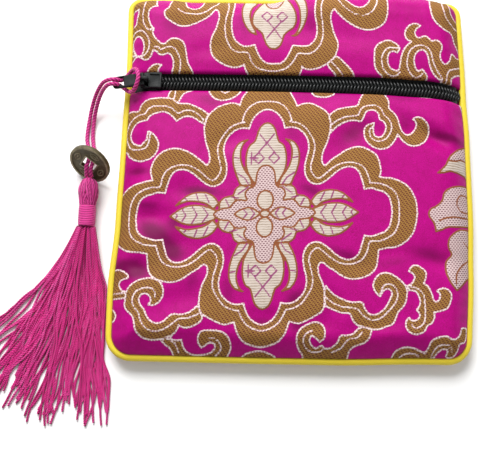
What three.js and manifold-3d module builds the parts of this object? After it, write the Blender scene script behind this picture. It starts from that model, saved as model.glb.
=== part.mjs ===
// A Chinese brocade purse lying on its back, with a piped edge, a zipper and a coin tassel.
// Millimetres, +Z up. The origin is on the table, under the middle of the purse.
import * as THREE from 'three';
import { mergeVertices } from 'three/addons/utils/BufferGeometryUtils.js';
import Module from 'manifold-3d';

const wasm = await Module();
wasm.setup();

// Clearance between pieces that touch on the real purse
const GAP = 0.3;

// Purse body
const PURSE_WIDTH = 115;
const PURSE_HEIGHT = 123;
const BOTTOM_CORNER = 8;
const TOP_CORNER = 5;
const CLOTH = 2.0;
const SEAM_LEVEL = 4.5;
const SEAM_STEP = 1.65;
const SEAM_SET = 0.75;
const FRONT_RISE = 5.2;
const FRONT_SHOULDER = 8;
const FRONT_DOME = 1.6;
const BACK_SHOULDER = 9;
const SIDE_BOW = 1.0;
const DENT_DEPTH = 1.6;
const PIPING_DIAMETER = 2.5;
const FRONT_COLUMNS = 15;
const BACK_COLUMNS = 6;
const LOWER_ROWS = 13;
const UPPER_ROWS = 6;
const BACK_ROWS = 9;

// Zipper
const ZIP_LINE = 28.9;
const ZIP_DROOP = 1.8;
const ZIP_OPENING = 6.0;
const ZIP_VALLEY = 2.0;
const ZIP_VALLEY_REACH = 8;
const TAPE_THICKNESS = 0.8;
const TAPE_HIDDEN = 1.4;
const TAPE_RISE = 5;
const TAPE_STEPS = 18;
const TAPE_END_STEP = 1;
const SLOT_RAMP = 0.4;
const COIL_WIDTH = 2.3;
const COIL_HEIGHT = 1.8;
const COIL_SINK = 0.2;
const COIL_PITCH = 1.15;
const COIL_GROOVE = 0.5;
const CENTRE_GAP = 0.3;

// Slider and pull tab
const SLIDER_LENGTH = 7.4;
const SLIDER_WIDTH = 5.2;
const SLIDER_NOSE = 3.6;
const SLIDER_PLATE = 1.0;
const SLIDER_BASE = 0.6;
const SLIDER_RAIL = 0.4;
const SLIDER_RAIL_WIDTH = 0.7;
const WEDGE_SET = 0.3;
const WEDGE_LENGTH = 2.8;
const WEDGE_WIDTH = 3.0;
const POST_WIDTH = 1.0;
const BAIL_WIDTH = 1.1;
const BAIL_THICKNESS = 0.6;
const BAIL_LENGTH = 3.0;
const TAB_LENGTH = 10.4;
const TAB_BASE_WIDTH = 4.2;
const TAB_TIP_WIDTH = 4.0;
const TAB_THICKNESS = 1.0;
const TAB_CROSSBAR = 0.7;
const TAB_BAR = 0.4;
const TAB_TIP_BAR = 0.7;
const TAB_TIP_ROUND = 1.2;
const TAB_HOLE_LENGTH = 3.0;
const TAB_WINDOW_LENGTH = 1.9;
const TAB_WINDOW_WIDTH = 2.0;
const TAB_SWING = 7.5;
const TAB_DROP = 6.5;

// Cord
const CORD_DIAMETER = 1.25;
const CORD_SIDES = 8;
const CORD_STEPS = 66;

// Coin
const COIN_DIAMETER = 14;
const COIN_WEB = 0.9;
const COIN_RIM = 1.4;
const COIN_RIM_WIDTH = 0.8;
const COIN_HOLE = 4.3;
const COIN_HOLE_BORDER = 0.5;
const COIN_HOLE_TURN = -20;
const COIN_CENTRE = new THREE.Vector3(-66.35, 1.3, 6.4);
const COIN_FACING = new THREE.Vector3(-0.33, -0.78, 0.53);
const COIN_SIDES = 28;

// Tassel
const HEAD_TOP = new THREE.Vector3(-66.85, -3.0, 3.55);
const HEAD_LENGTH = 9.0;
const HEAD_RADIUS = 3.35;
const BINDING_LENGTH = 6.2;
const BINDING_RADIUS = 2.85;
const TASSEL_LEAN = 2.1;
const TASSEL_SIDES = 12;
const SKIRT_LENGTH = 62;
const SKIRT_ROOT = 1.0;
const SKIRT_CORE_LENGTH = 5.0;
const SKIRT_CORE_RADIUS = 2.5;
const LOCK_WIDTH = 6.0;
const LOCK_HEIGHT = 2.3;
const LOCK_STEPS = 7;
const LOCK_SIDES = 6;

// How far each side bows outwards: place along the side and bow as shares of the
// half side and of SIDE_BOW. Left and right run from bottom to top, the others left to right.
const SIDE_BOWS = {
  left: [[-1, 0.8], [-0.64, 1.1], [-0.28, -0.2], [0.15, -0.6], [0.56, -1.0], [1, -0.4]],
  right: [[-1, -1.4], [-0.5, 0.0], [-0.24, 0.5], [0.2, 0.2], [0.45, -0.5], [1, -1.4]],
  bottom: [[-1, 0.1], [-0.2, 0.1], [0.2, 0.0], [0.75, -0.9], [1, -1.0]],
  top: [[-1, -0.8], [-0.3, -0.3], [0.5, 0.6], [1, -0.4]],
};

// Droop of the zipper's line: place and drop as shares of the half width and of ZIP_DROOP
const ZIP_LINE_DROPS = [[-1, 0], [0, 0], [0.4, 0.1], [0.72, 0.38], [0.9, 0.75], [1, 1.1]];

// Dents of the front, as shares of the half width and half height, and of DENT_DEPTH:
// x, y, reach along, reach across, turn in degrees, depth
const FRONT_DENTS = [
  [-0.91, -0.04, 0.1, 0.06, 0, 0.7],
  [-0.76, -0.28, 0.14, 0.13, 20, 0.9],
  [0.68, 0.24, 0.24, 0.05, -29, 0.8],
  [0.25, 0.11, 0.14, 0.1, 0, 0.5],
  [-0.6, -0.12, 0.17, 0.06, 10, 0.45],
  [-0.6, -0.9, 0.24, 0.07, 0, 0.6],
  [-0.56, -0.76, 0.12, 0.07, 0, -0.45],
  [0.36, -0.84, 0.2, 0.06, 6, 0.4],
  [0.86, -0.42, 0.08, 0.2, 0, 0.35],
  [0.1, 0.76, 0.3, 0.06, 3, 0.35],
];

// Outline of the tassel's head: distance down and radius, as shares of its length and radius
const HEAD_PROFILE = [[0, 0], [0, 0.3], [0.05, 0.6], [0.17, 0.86], [0.4, 1], [0.66, 0.97],
  [0.86, 0.86], [1, 0.78], [1, 0]];

// Locks of the skirt: start across the collar as a share of its radius, heading at the
// collar and at the tip in degrees from straight down, and shares of the skirt's length,
// of the lock's width and of its height above the table
const SKIRT_LOCKS = [
  [0.78, 11, 1, 1.02, 0.75, 0.8],
  [0.55, 9, 4, 0.8, 0.8, 0.95],
  [0.4, 5, 2, 0.99, 0.9, 1.0],
  [0.1, 0, -2, 0.97, 1.0, 1.1],
  [-0.1, -5, -7, 0.99, 1.0, 1.1],
  [-0.3, -10, -13, 1.0, 1.0, 1.0],
  [-0.4, -16, -18, 0.98, 0.95, 1.0],
  [-0.5, -20, -26, 0.96, 0.9, 0.9],
  [-0.6, -24, -34, 0.95, 0.8, 0.85],
  [-0.7, -26, -44, 0.93, 0.7, 0.75],
  [-0.8, -28, -56, 0.92, 0.6, 0.7],
  [0.25, 3, -1, 0.72, 0.9, 1.5],
  [-0.2, -8, -10, 0.7, 0.9, 1.5],
  [-0.45, -17, -24, 0.66, 0.8, 1.3],
];

// How a lock spreads, thins and falls to the table: place along it and share of its
// width, of its height and of the collar's level
const LOCK_SPREAD = [[0, 0.45], [0.4, 0.9], [0.78, 1], [1, 0.3]];
const LOCK_DEPTH = [[0, 1], [0.35, 0.85], [0.75, 0.65], [1, 0.3]];
const LOCK_FALL = [[0, 1], [0.32, 0], [1, 0]];

// Route of the cord, chosen by hand: from the head up through the coin and over the tip of
// the pull tab, down its hole, round its foot in a ring, and back the same way.
const CORD_ROUTE = [
  [-66.05, -2.55, 4.15], [-66.15, -1.3, 5.3], [-66.15, -0.5, 5.9], [-65.65, 0.9, 6.25],
  [-65.45, 2.3, 6.1], [-65.5, 4.0, 5.0], [-65.9, 6.2, 3.0], [-66.5, 8.6, 1.35],
  [-67.1, 11.6, 0.75], [-67.2, 14.8, 0.75], [-66.95, 17.9, 1.3], [-66.4, 20.3, 2.7],
  [-65.4, 22.7, 4.9], [-64.1, 24.7, 7.4], [-62.5, 26.0, 10.0], [-60.9, 26.5, 11.9],
  [-59.4, 26.67, 12.3], [-58.2, 26.8, 11.7], [-57.3, 26.75, 10.5], [-56.2, 26.3, 9.5],
  [-54.7, 25.2, 9.6], [-53.2, 24.5, 11.1], [-52.0, 25.1, 13.0], [-51.2, 26.6, 14.3],
  [-50.9, 28.3, 14.7], [-51.2, 30.0, 14.3], [-52.0, 31.5, 13.0], [-53.3, 32.1, 11.1],
  [-54.8, 31.3, 9.5], [-56.2, 29.6, 9.4], [-57.3, 28.5, 10.5], [-58.2, 28.35, 11.7],
  [-59.4, 28.22, 12.3], [-60.9, 28.1, 12.1], [-62.9, 27.8, 10.4], [-64.6, 26.8, 8.0],
  [-66.3, 24.8, 5.2], [-67.6, 21.9, 2.8], [-68.4, 18.7, 1.3], [-68.9, 15.0, 0.75],
  [-69.0, 11.4, 0.75], [-68.3, 8.4, 1.4], [-67.4, 6.3, 3.1], [-67.0, 4.3, 4.9],
  [-66.8, 2.9, 6.15], [-67.0, 1.65, 6.5], [-67.45, 0.2, 6.3], [-67.55, -0.9, 5.5],
  [-67.6, -2.55, 4.15],
];

// Finishes
const FINISH = {
  brocade: { color: 0xcd0f91, roughness: 0.45, metalness: 0 },
  piping: { color: 0xf0e132, roughness: 0.5, metalness: 0 },
  tape: { color: 0x191b1b, roughness: 0.8, metalness: 0 },
  coil: { color: 0x2b2e2e, roughness: 0.4, metalness: 0 },
  pull: { color: 0x323737, roughness: 0.4, metalness: 0.7 },
  cord: { color: 0xd01e82, roughness: 0.55, metalness: 0 },
  bronze: { color: 0x50442d, roughness: 0.5, metalness: 0.9 },
};

const HALF_WIDTH = PURSE_WIDTH / 2;
const HALF_HEIGHT = PURSE_HEIGHT / 2;
const PIPING_RADIUS = PIPING_DIAMETER / 2;
const PANEL_INSET = PIPING_RADIUS + SEAM_SET;
const PANEL_HALF_WIDTH = HALF_WIDTH - PANEL_INSET;
const PANEL_HALF_HEIGHT = HALF_HEIGHT - PANEL_INSET;
const FRONT_EDGE = SEAM_LEVEL + SEAM_STEP;
const BACK_EDGE = SEAM_LEVEL - SEAM_STEP;
const TAPE_TOP = CLOTH + GAP;

const group = new THREE.Group();

function addPiece(name, geometry, finish, parent = group) {
  const mesh = new THREE.Mesh(geometry, new THREE.MeshStandardMaterial(finish));
  mesh.name = name;
  parent.add(mesh);
  return mesh;
}

function radians(degrees) {
  return THREE.MathUtils.degToRad(degrees);
}

// Smooth value between the rows of a two-column table
function interpolate(table, place) {
  if (place <= table[0][0]) return table[0][1];
  for (let row = 1; row < table.length; row++) {
    if (place <= table[row][0]) {
      const [start, low] = table[row - 1];
      const [end, high] = table[row];
      const t = (place - start) / (end - start);
      return THREE.MathUtils.lerp(low, high, t * t * (3 - 2 * t));
    }
  }
  return table[table.length - 1][1];
}

// A solid between two grids of points, the first above the second
function slab(upper, lower) {
  const rows = upper.length;
  const columns = upper[0].length;
  const positions = [...upper.flat(), ...lower.flat()].flatMap((point) => point.toArray());
  const top = (row, column) => row * columns + column;
  const bottom = (row, column) => rows * columns + row * columns + column;
  const faces = [];
  const quad = (a, b, c, d) => faces.push(a, b, c, a, c, d);
  for (let row = 0; row < rows - 1; row++) {
    for (let column = 0; column < columns - 1; column++) {
      quad(top(row, column), top(row, column + 1), top(row + 1, column + 1), top(row + 1, column));
      quad(bottom(row, column), bottom(row + 1, column), bottom(row + 1, column + 1),
        bottom(row, column + 1));
    }
  }
  for (let column = 0; column < columns - 1; column++) {
    quad(bottom(0, column), bottom(0, column + 1), top(0, column + 1), top(0, column));
    quad(top(rows - 1, column), top(rows - 1, column + 1), bottom(rows - 1, column + 1),
      bottom(rows - 1, column));
  }
  for (let row = 0; row < rows - 1; row++) {
    quad(bottom(row + 1, 0), bottom(row, 0), top(row, 0), top(row + 1, 0));
    quad(top(row + 1, columns - 1), top(row, columns - 1), bottom(row, columns - 1),
      bottom(row + 1, columns - 1));
  }
  return geometryOf(positions, faces);
}

function geometryOf(positions, faces) {
  const geometry = new THREE.BufferGeometry();
  geometry.setAttribute('position', new THREE.Float32BufferAttribute(positions, 3));
  geometry.setIndex(faces);
  geometry.computeVertexNormals();
  return geometry;
}

// A body through closed sections, capped at both ends or joined into a ring
function loft(sections, ring = false) {
  const sides = sections[0].length;
  const positions = sections.flat().flatMap((point) => point.toArray());
  const faces = [];
  const spans = ring ? sections.length : sections.length - 1;
  for (let span = 0; span < spans; span++) {
    const next = (span + 1) % sections.length;
    for (let side = 0; side < sides; side++) {
      const a = span * sides + side;
      const b = span * sides + (side + 1) % sides;
      const c = next * sides + (side + 1) % sides;
      const d = next * sides + side;
      faces.push(a, b, c, a, c, d);
    }
  }
  if (!ring) {
    const last = (sections.length - 1) * sides;
    for (let side = 1; side < sides - 1; side++) {
      faces.push(0, side + 1, side);
      faces.push(last, last + side, last + side + 1);
    }
  }
  return geometryOf(positions, faces);
}

function solidOf(geometry) {
  const bare = geometry.clone();
  bare.deleteAttribute('normal');
  bare.deleteAttribute('uv');
  const merged = mergeVertices(bare);
  return new wasm.Manifold(new wasm.Mesh({
    numProp: 3,
    vertProperties: new Float32Array(merged.attributes.position.array),
    triVerts: new Uint32Array(merged.index.array),
  }));
}

function meshOf(solid) {
  const { vertProperties, triVerts } = solid.getMesh();
  return geometryOf(Array.from(vertProperties), Array.from(triVerts));
}

function fuse(geometries) {
  return meshOf(geometries.map(solidOf).reduce((joined, next) => joined.add(next)));
}

function block(x0, x1, y0, y1, z0, z1) {
  const box = new THREE.BoxGeometry(x1 - x0, y1 - y0, z1 - z0);
  return box.translate((x0 + x1) / 2, (y0 + y1) / 2, (z0 + z1) / 2);
}

// Depth inside a rounded rectangle with its own top and bottom corners
function insideDepth(x, y, halfWidth, halfHeight, inset) {
  const radius = (y < 0 ? BOTTOM_CORNER : TOP_CORNER) - inset;
  const dx = Math.abs(x) - (halfWidth - radius);
  const dy = Math.abs(y) - (halfHeight - radius);
  const outside = Math.hypot(Math.max(dx, 0), Math.max(dy, 0));
  return radius - outside - Math.min(Math.max(dx, dy), 0);
}

function shoulder(depth, reach) {
  return Math.sin((Math.PI / 2) * Math.min(depth / reach, 1));
}

function zipLine(x) {
  return ZIP_LINE - ZIP_DROOP * interpolate(ZIP_LINE_DROPS, x / HALF_WIDTH);
}

function dentDepth(x, y) {
  let depth = 0;
  for (const [cx, cy, along, across, turn, share] of FRONT_DENTS) {
    const dx = x - cx * HALF_WIDTH;
    const dy = y - cy * HALF_HEIGHT;
    const angle = radians(turn);
    const u = (dx * Math.cos(angle) + dy * Math.sin(angle)) / (along * HALF_WIDTH);
    const v = (dy * Math.cos(angle) - dx * Math.sin(angle)) / (across * HALF_HEIGHT);
    depth += share * DENT_DEPTH * Math.exp(-(u * u) - v * v);
  }
  return depth;
}

// Height of the front's outer face before its sides bow
function frontLevel(x, y) {
  const depth = insideDepth(x, y, PANEL_HALF_WIDTH, PANEL_HALF_HEIGHT, PANEL_INSET);
  const full = shoulder(depth, FRONT_SHOULDER);
  const dome = FRONT_DOME * (1 - (x / HALF_WIDTH) ** 2) * (1 - (y / HALF_HEIGHT) ** 2);
  const valley = ZIP_VALLEY * Math.exp(-(((y - zipLine(x)) / ZIP_VALLEY_REACH) ** 2));
  return FRONT_EDGE + FRONT_RISE * full + dome - (valley + dentDepth(x, y)) * full;
}

function backLevel(x, y) {
  const depth = insideDepth(x, y, PANEL_HALF_WIDTH, PANEL_HALF_HEIGHT, PANEL_INSET);
  return BACK_EDGE * (1 - shoulder(depth, BACK_SHOULDER));
}

// Point at a depth below a level surface, measured square to it
function below(level, x, y, depth) {
  const step = 0.05;
  const slopeX = (level(x + step, y) - level(x - step, y)) / (2 * step);
  const slopeY = (level(x, y + step) - level(x, y - step)) / (2 * step);
  const normal = new THREE.Vector3(-slopeX, -slopeY, 1).normalize();
  return new THREE.Vector3(x, y, level(x, y)).addScaledVector(normal, -depth);
}

// Moves a point with the bow of the sides
function bow(point) {
  const x = point.x / HALF_WIDTH;
  const y = point.y / HALF_HEIGHT;
  const across = x < 0 ? -interpolate(SIDE_BOWS.left, y) : interpolate(SIDE_BOWS.right, y);
  const along = y < 0 ? -interpolate(SIDE_BOWS.bottom, x) : interpolate(SIDE_BOWS.top, x);
  point.x += SIDE_BOW * across * x * x;
  point.y += SIDE_BOW * along * y * y;
  return point;
}

// Half width of a panel at a height, inside its rounded corners
function panelReach(y) {
  const radius = (y < 0 ? BOTTOM_CORNER : TOP_CORNER) - PANEL_INSET;
  const rise = Math.abs(y) - (PANEL_HALF_HEIGHT - radius);
  if (rise <= 0) return PANEL_HALF_WIDTH;
  return PANEL_HALF_WIDTH - radius + Math.sqrt(Math.max(radius ** 2 - rise ** 2, 0));
}

// Places across a panel, closer together on its shoulders
function columnShares(middle) {
  const shares = [0, 0.02, 0.045, 0.075, 0.12];
  const inner = Array.from({ length: middle }, (_, i) => 0.12 + (0.76 * (i + 1)) / (middle + 1));
  return [...shares, ...inner, ...shares.map((share) => 1 - share).reverse()];
}

// Heights of the rows round a corner, from its outer edge inwards
function cornerRows(radius) {
  return [0, 15, 34, 57, 90].map((turn) => radius * (1 - Math.cos(radians(turn))));
}

function panelGrid(rows, shares, place) {
  return rows.map((rowLine) => shares.map((share) => {
    const guess = rowLine(0);
    const reach = panelReach(guess);
    const x = THREE.MathUtils.lerp(-reach, reach, share);
    return bow(place(x, rowLine(x)));
  }));
}

function frontInner(x, y) {
  const outer = below(frontLevel, x, y, 0);
  const probe = below(frontLevel, x, y, 1);
  const room = (outer.z - SEAM_LEVEL - GAP / 2) / (outer.z - probe.z);
  return below(frontLevel, x, y, Math.min(CLOTH, room));
}

function backInner(x, y) {
  const outer = below(backLevel, x, y, 0);
  const probe = below(backLevel, x, y, -1);
  const room = (SEAM_LEVEL - GAP / 2 - outer.z) / (probe.z - outer.z);
  return below(backLevel, x, y, -Math.min(CLOTH, room));
}

function frontPanel(rows) {
  const shares = columnShares(FRONT_COLUMNS);
  const outer = panelGrid(rows, shares, (x, y) => below(frontLevel, x, y, 0));
  const inner = panelGrid(rows, shares, frontInner);
  return slab(outer, inner);
}

function frontLowerPanel() {
  const corner = BOTTOM_CORNER - PANEL_INSET;
  const start = -PANEL_HALF_HEIGHT;
  const rows = cornerRows(corner).map((rise) => () => start + rise);
  for (let row = 1; row <= LOWER_ROWS; row++) {
    const share = row / LOWER_ROWS;
    const low = start + corner;
    rows.push((x) => THREE.MathUtils.lerp(low, zipLine(x) - ZIP_OPENING / 2, share));
  }
  return frontPanel(rows);
}

function frontUpperPanel() {
  const corner = TOP_CORNER - PANEL_INSET;
  const end = PANEL_HALF_HEIGHT;
  const rows = [];
  for (let row = 0; row < UPPER_ROWS; row++) {
    const share = row / UPPER_ROWS;
    rows.push((x) => THREE.MathUtils.lerp(zipLine(x) + ZIP_OPENING / 2, end - corner, share));
  }
  cornerRows(corner).reverse().forEach((rise) => rows.push(() => end - rise));
  return frontPanel(rows);
}

// Places along a straight side, in the middle of equal steps
function sidePlaces(from, to, count) {
  return Array.from({ length: count }, (_, i) => THREE.MathUtils.lerp(from, to, (i + 0.5) / count));
}

function backPanel() {
  const low = BOTTOM_CORNER - PANEL_INSET;
  const high = TOP_CORNER - PANEL_INSET;
  const start = -PANEL_HALF_HEIGHT;
  const end = PANEL_HALF_HEIGHT;
  const rows = [
    ...cornerRows(low).map((rise) => start + rise),
    start + BACK_SHOULDER,
    ...sidePlaces(start + BACK_SHOULDER, end - BACK_SHOULDER, BACK_ROWS),
    end - BACK_SHOULDER,
    ...cornerRows(high).map((rise) => end - rise).reverse(),
  ].map((y) => () => y);
  const shares = columnShares(BACK_COLUMNS);
  const outer = panelGrid(rows, shares, (x, y) => below(backLevel, x, y, 0));
  const inner = panelGrid(rows, shares, backInner);
  return slab(inner, outer);
}

function edgePiping() {
  const halfWidth = HALF_WIDTH - PIPING_RADIUS;
  const halfHeight = HALF_HEIGHT - PIPING_RADIUS;
  const low = BOTTOM_CORNER - PIPING_RADIUS;
  const high = TOP_CORNER - PIPING_RADIUS;
  const centres = [];
  const arc = (cx, cy, radius, start) => {
    for (let step = 0; step <= 4; step++) {
      const angle = radians(start + step * 22.5);
      centres.push(new THREE.Vector2(cx + radius * Math.cos(angle), cy + radius * Math.sin(angle)));
    }
  };
  const spanX = halfWidth - Math.max(low, high);
  const spanY = halfHeight - Math.max(low, high);
  const count = 12;
  sidePlaces(-spanX, spanX, count).forEach((x) => centres.push(new THREE.Vector2(x, -halfHeight)));
  arc(halfWidth - low, -halfHeight + low, low, -90);
  sidePlaces(-spanY, spanY, count).forEach((y) => centres.push(new THREE.Vector2(halfWidth, y)));
  arc(halfWidth - high, halfHeight - high, high, 0);
  sidePlaces(spanX, -spanX, count).forEach((x) => centres.push(new THREE.Vector2(x, halfHeight)));
  arc(-halfWidth + high, halfHeight - high, high, 90);
  sidePlaces(spanY, -spanY, count).forEach((y) => centres.push(new THREE.Vector2(-halfWidth, y)));
  arc(-halfWidth + low, -halfHeight + low, low, 180);
  const line = centres.map(({ x, y }) => bow(new THREE.Vector3(x, y, SEAM_LEVEL)));
  const sections = line.map((centre, index) => {
    const before = line.at(index - 1);
    const after = line[(index + 1) % line.length];
    const along = after.clone().sub(before).normalize();
    const inward = new THREE.Vector3(-along.y, along.x, 0);
    return Array.from({ length: 8 }, (_, side) => {
      const angle = (side / 8) * 2 * Math.PI;
      return centre.clone().addScaledVector(inward, PIPING_RADIUS * Math.cos(angle))
        .add(new THREE.Vector3(0, 0, PIPING_RADIUS * Math.sin(angle)));
    });
  });
  return loft(sections, true);
}

// Slider's place along the zipper
const SLIDER_LEFT = -PANEL_HALF_WIDTH + SLIDER_NOSE;
const SLIDER_RIGHT = SLIDER_LEFT + SLIDER_LENGTH;
const POST_RIGHT = SLIDER_LEFT + WEDGE_SET + WEDGE_LENGTH;
const COIL_START = POST_RIGHT + GAP;

// One tape of the zipper, on the upper side (1) or the lower side (-1) of its line.
// Its hidden edge lies under the panel, and its ends rise between the folds to the seam.
function zipperTape(side) {
  const half = PANEL_HALF_WIDTH;
  const stations = [-half, -half + TAPE_RISE * 0.5, -half + TAPE_RISE];
  const straight = half - TAPE_RISE - TAPE_END_STEP;
  for (let step = 0; step <= TAPE_STEPS; step++) {
    stations.push(THREE.MathUtils.lerp(-straight, straight, step / TAPE_STEPS));
  }
  stations.push(half - TAPE_RISE, half - TAPE_RISE * 0.5, half);
  const slotStart = SLIDER_LEFT - GAP - 2 * SLOT_RAMP;
  const slotEnd = POST_RIGHT + GAP;
  [slotStart, slotEnd].forEach((x) => stations.push(x, x + SLOT_RAMP));
  stations.sort((a, b) => a - b);
  const level = (x, across, depth) => below(frontLevel, x, zipLine(x) + side * across, depth);
  const strips = (extra) => [0, 1, 2].map((line) => stations.map((x) => {
    const edge = half - Math.abs(x);
    const rise = THREE.MathUtils.clamp(edge / TAPE_RISE, 0, 1);
    const top = THREE.MathUtils.lerp(GAP * 2, TAPE_TOP, rise);
    const slot = x > slotStart + SLOT_RAMP / 2 && x < slotEnd + SLOT_RAMP / 2;
    const inner = slot ? POST_WIDTH / 2 + GAP : CENTRE_GAP / 2;
    const hidden = edge > TAPE_RISE + TAPE_END_STEP / 2 ? TAPE_HIDDEN : -GAP;
    const outer = ZIP_OPENING / 2 + hidden;
    const fold = Math.min(ZIP_OPENING / 2 - GAP, outer - 0.001);
    const across = [inner, hidden > 0 ? fold : (inner + outer) / 2, outer][line];
    return bow(level(x, across, top + extra));
  }));
  const upper = strips(0);
  const lower = strips(TAPE_THICKNESS);
  return side > 0 ? slab(upper, lower) : slab(upper.reverse(), lower.reverse());
}

// One coil of the closed chain: a bar beside the zipper's line, with a rib for each tooth
function zipperCoil(side) {
  const length = PANEL_HALF_WIDTH - COIL_START;
  const teeth = Math.round(length / COIL_PITCH);
  const pitch = length / teeth;
  const shift = side > 0 ? 0 : 0.25;
  const crest = [{ x: COIL_START, depth: COIL_SINK + COIL_GROOVE }];
  for (let tooth = 0; tooth < teeth; tooth++) {
    crest.push({ x: COIL_START + (tooth + 0.2 + shift) * pitch, depth: COIL_SINK });
    crest.push({ x: COIL_START + (tooth + 0.7 + shift) * pitch, depth: COIL_SINK + COIL_GROOVE });
  }
  crest[crest.length - 1].x = PANEL_HALF_WIDTH;
  const steps = Math.round(length / 4);
  const foot = Array.from({ length: steps + 1 }, (_, step) => (
    { x: COIL_START + (length * step) / steps, depth: COIL_SINK + COIL_HEIGHT }));
  const profile = [...foot, ...crest.reverse()];
  const walls = [CENTRE_GAP / 2, CENTRE_GAP / 2 + COIL_WIDTH].map((across) => (
    profile.map(({ x, depth }) => {
      const edge = THREE.MathUtils.clamp((PANEL_HALF_WIDTH - x) / TAPE_RISE, 0, 1);
      const rise = THREE.MathUtils.lerp(TAPE_TOP - GAP * 2, 0, edge);
      return bow(below(frontLevel, x, zipLine(x) + side * across, depth - rise));
    })));
  if (side < 0) walls.reverse();
  const count = profile.length;
  const faces = [];
  const wallFace = (a, b, c) => faces.push(a, b, c, count + a, count + c, count + b);
  let low = 0;
  let high = count - 1;
  while (high - low > 1) {
    const stepLow = high - 1 <= steps || (low < steps && profile[low + 1].x < profile[high - 1].x);
    if (stepLow) wallFace(low, low + 1, high);
    else wallFace(low, high - 1, high);
    if (stepLow) low += 1;
    else high -= 1;
  }
  for (let point = 0; point < count; point++) {
    const next = (point + 1) % count;
    faces.push(point, count + point, count + next, point, count + next, next);
  }
  return geometryOf(walls.flat().flatMap((point) => point.toArray()), faces);
}

// Levels of the slider, set by the tapes and the coils that run through it
const SLIDER_MIDDLE = SLIDER_LEFT + SLIDER_LENGTH / 2;
const SLIDER_LINE = zipLine(SLIDER_MIDDLE);
const SLIDER_SHIFT = bow(new THREE.Vector3(SLIDER_MIDDLE, SLIDER_LINE, 0))
  .sub(new THREE.Vector3(SLIDER_MIDDLE, 0, 0));
const zipLevel = (x) => frontLevel(x, zipLine(x));
const PLATE_LEVEL = zipLevel(SLIDER_RIGHT) - COIL_SINK + GAP;
const PLATE_TOP = PLATE_LEVEL + SLIDER_PLATE;
const BASE_TOP = zipLevel(SLIDER_LEFT) - TAPE_TOP - TAPE_THICKNESS - 3 * GAP;
const WEDGE_LEVEL = zipLevel(POST_RIGHT) - TAPE_TOP + GAP;
const CROSSBAR_LEVEL = PLATE_TOP + TAB_THICKNESS / 2 + GAP * 1.5;
const BAIL_ROOM = CROSSBAR_LEVEL + TAB_THICKNESS / 2 + GAP;
const BAIL_LEFT = SLIDER_LEFT + 0.2;

function plateOutline() {
  const shape = new THREE.Shape();
  const half = SLIDER_WIDTH / 2;
  const nose = WEDGE_WIDTH / 2;
  shape.moveTo(SLIDER_LEFT, -nose);
  shape.lineTo(SLIDER_LEFT + 2, -half);
  shape.lineTo(SLIDER_RIGHT, -half);
  shape.lineTo(SLIDER_RIGHT, half);
  shape.lineTo(SLIDER_LEFT + 2, half);
  shape.lineTo(SLIDER_LEFT, nose);
  shape.closePath();
  return shape;
}

function extrudeUp(shape, bottom, thickness) {
  const options = { depth: thickness, bevelEnabled: false, curveSegments: 6 };
  return new THREE.ExtrudeGeometry(shape, options).translate(0, 0, bottom);
}

function zipperSlider() {
  const half = SLIDER_WIDTH / 2;
  const wedge = WEDGE_WIDTH / 2;
  const post = POST_WIDTH / 2;
  const railLeft = BAIL_LEFT + BAIL_LENGTH + GAP;
  const railTop = PLATE_TOP + SLIDER_RAIL;
  const bail = BAIL_WIDTH / 2;
  const bailTop = BAIL_ROOM + BAIL_THICKNESS;
  const bailRight = BAIL_LEFT + BAIL_LENGTH;
  const overlap = 0.1;
  return fuse([
    extrudeUp(plateOutline(), PLATE_LEVEL, SLIDER_PLATE),
    extrudeUp(plateOutline(), BASE_TOP - SLIDER_BASE, SLIDER_BASE),
    block(SLIDER_LEFT + WEDGE_SET, POST_RIGHT, -wedge, wedge, WEDGE_LEVEL, PLATE_LEVEL + overlap),
    block(SLIDER_LEFT + WEDGE_SET, POST_RIGHT, -post, post, BASE_TOP - overlap, PLATE_LEVEL + overlap),
    block(railLeft, SLIDER_RIGHT, half - SLIDER_RAIL_WIDTH, half, PLATE_TOP - overlap, railTop),
    block(railLeft, SLIDER_RIGHT, -half, SLIDER_RAIL_WIDTH - half, PLATE_TOP - overlap, railTop),
    block(SLIDER_RIGHT - SLIDER_RAIL_WIDTH, SLIDER_RIGHT, -half, half, PLATE_TOP - overlap, railTop),
    block(BAIL_LEFT, BAIL_LEFT + BAIL_THICKNESS, -bail, bail, PLATE_TOP - overlap, bailTop),
    block(bailRight - BAIL_THICKNESS, bailRight, -bail, bail, PLATE_TOP - overlap, bailTop),
    block(BAIL_LEFT, bailRight, -bail, bail, BAIL_ROOM, bailTop),
  ]).translate(SLIDER_SHIFT.x, SLIDER_SHIFT.y, 0);
}

// The tab's outline runs from its crossbar at x = 0 to its tip
function pullTab() {
  const base = TAB_BASE_WIDTH / 2;
  const tip = TAB_TIP_WIDTH / 2;
  const round = TAB_TIP_ROUND;
  const shape = new THREE.Shape();
  shape.moveTo(0, -base);
  shape.lineTo(TAB_LENGTH - round, -tip);
  shape.quadraticCurveTo(TAB_LENGTH, -tip, TAB_LENGTH, -tip + round);
  shape.lineTo(TAB_LENGTH, tip - round);
  shape.quadraticCurveTo(TAB_LENGTH, tip, TAB_LENGTH - round, tip);
  shape.lineTo(0, base);
  shape.closePath();
  const cut = (x0, x1, half) => {
    const hole = new THREE.Path();
    hole.moveTo(x0, -half);
    hole.lineTo(x0, half);
    hole.lineTo(x1, half);
    hole.lineTo(x1, -half);
    hole.closePath();
    shape.holes.push(hole);
  };
  cut(TAB_CROSSBAR, TAB_CROSSBAR + TAB_WINDOW_LENGTH, TAB_WINDOW_WIDTH / 2);
  cut(TAB_LENGTH - TAB_TIP_BAR - TAB_HOLE_LENGTH, TAB_LENGTH - TAB_TIP_BAR, tip - TAB_BAR);
  return extrudeUp(shape, -TAB_THICKNESS / 2, TAB_THICKNESS);
}

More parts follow.
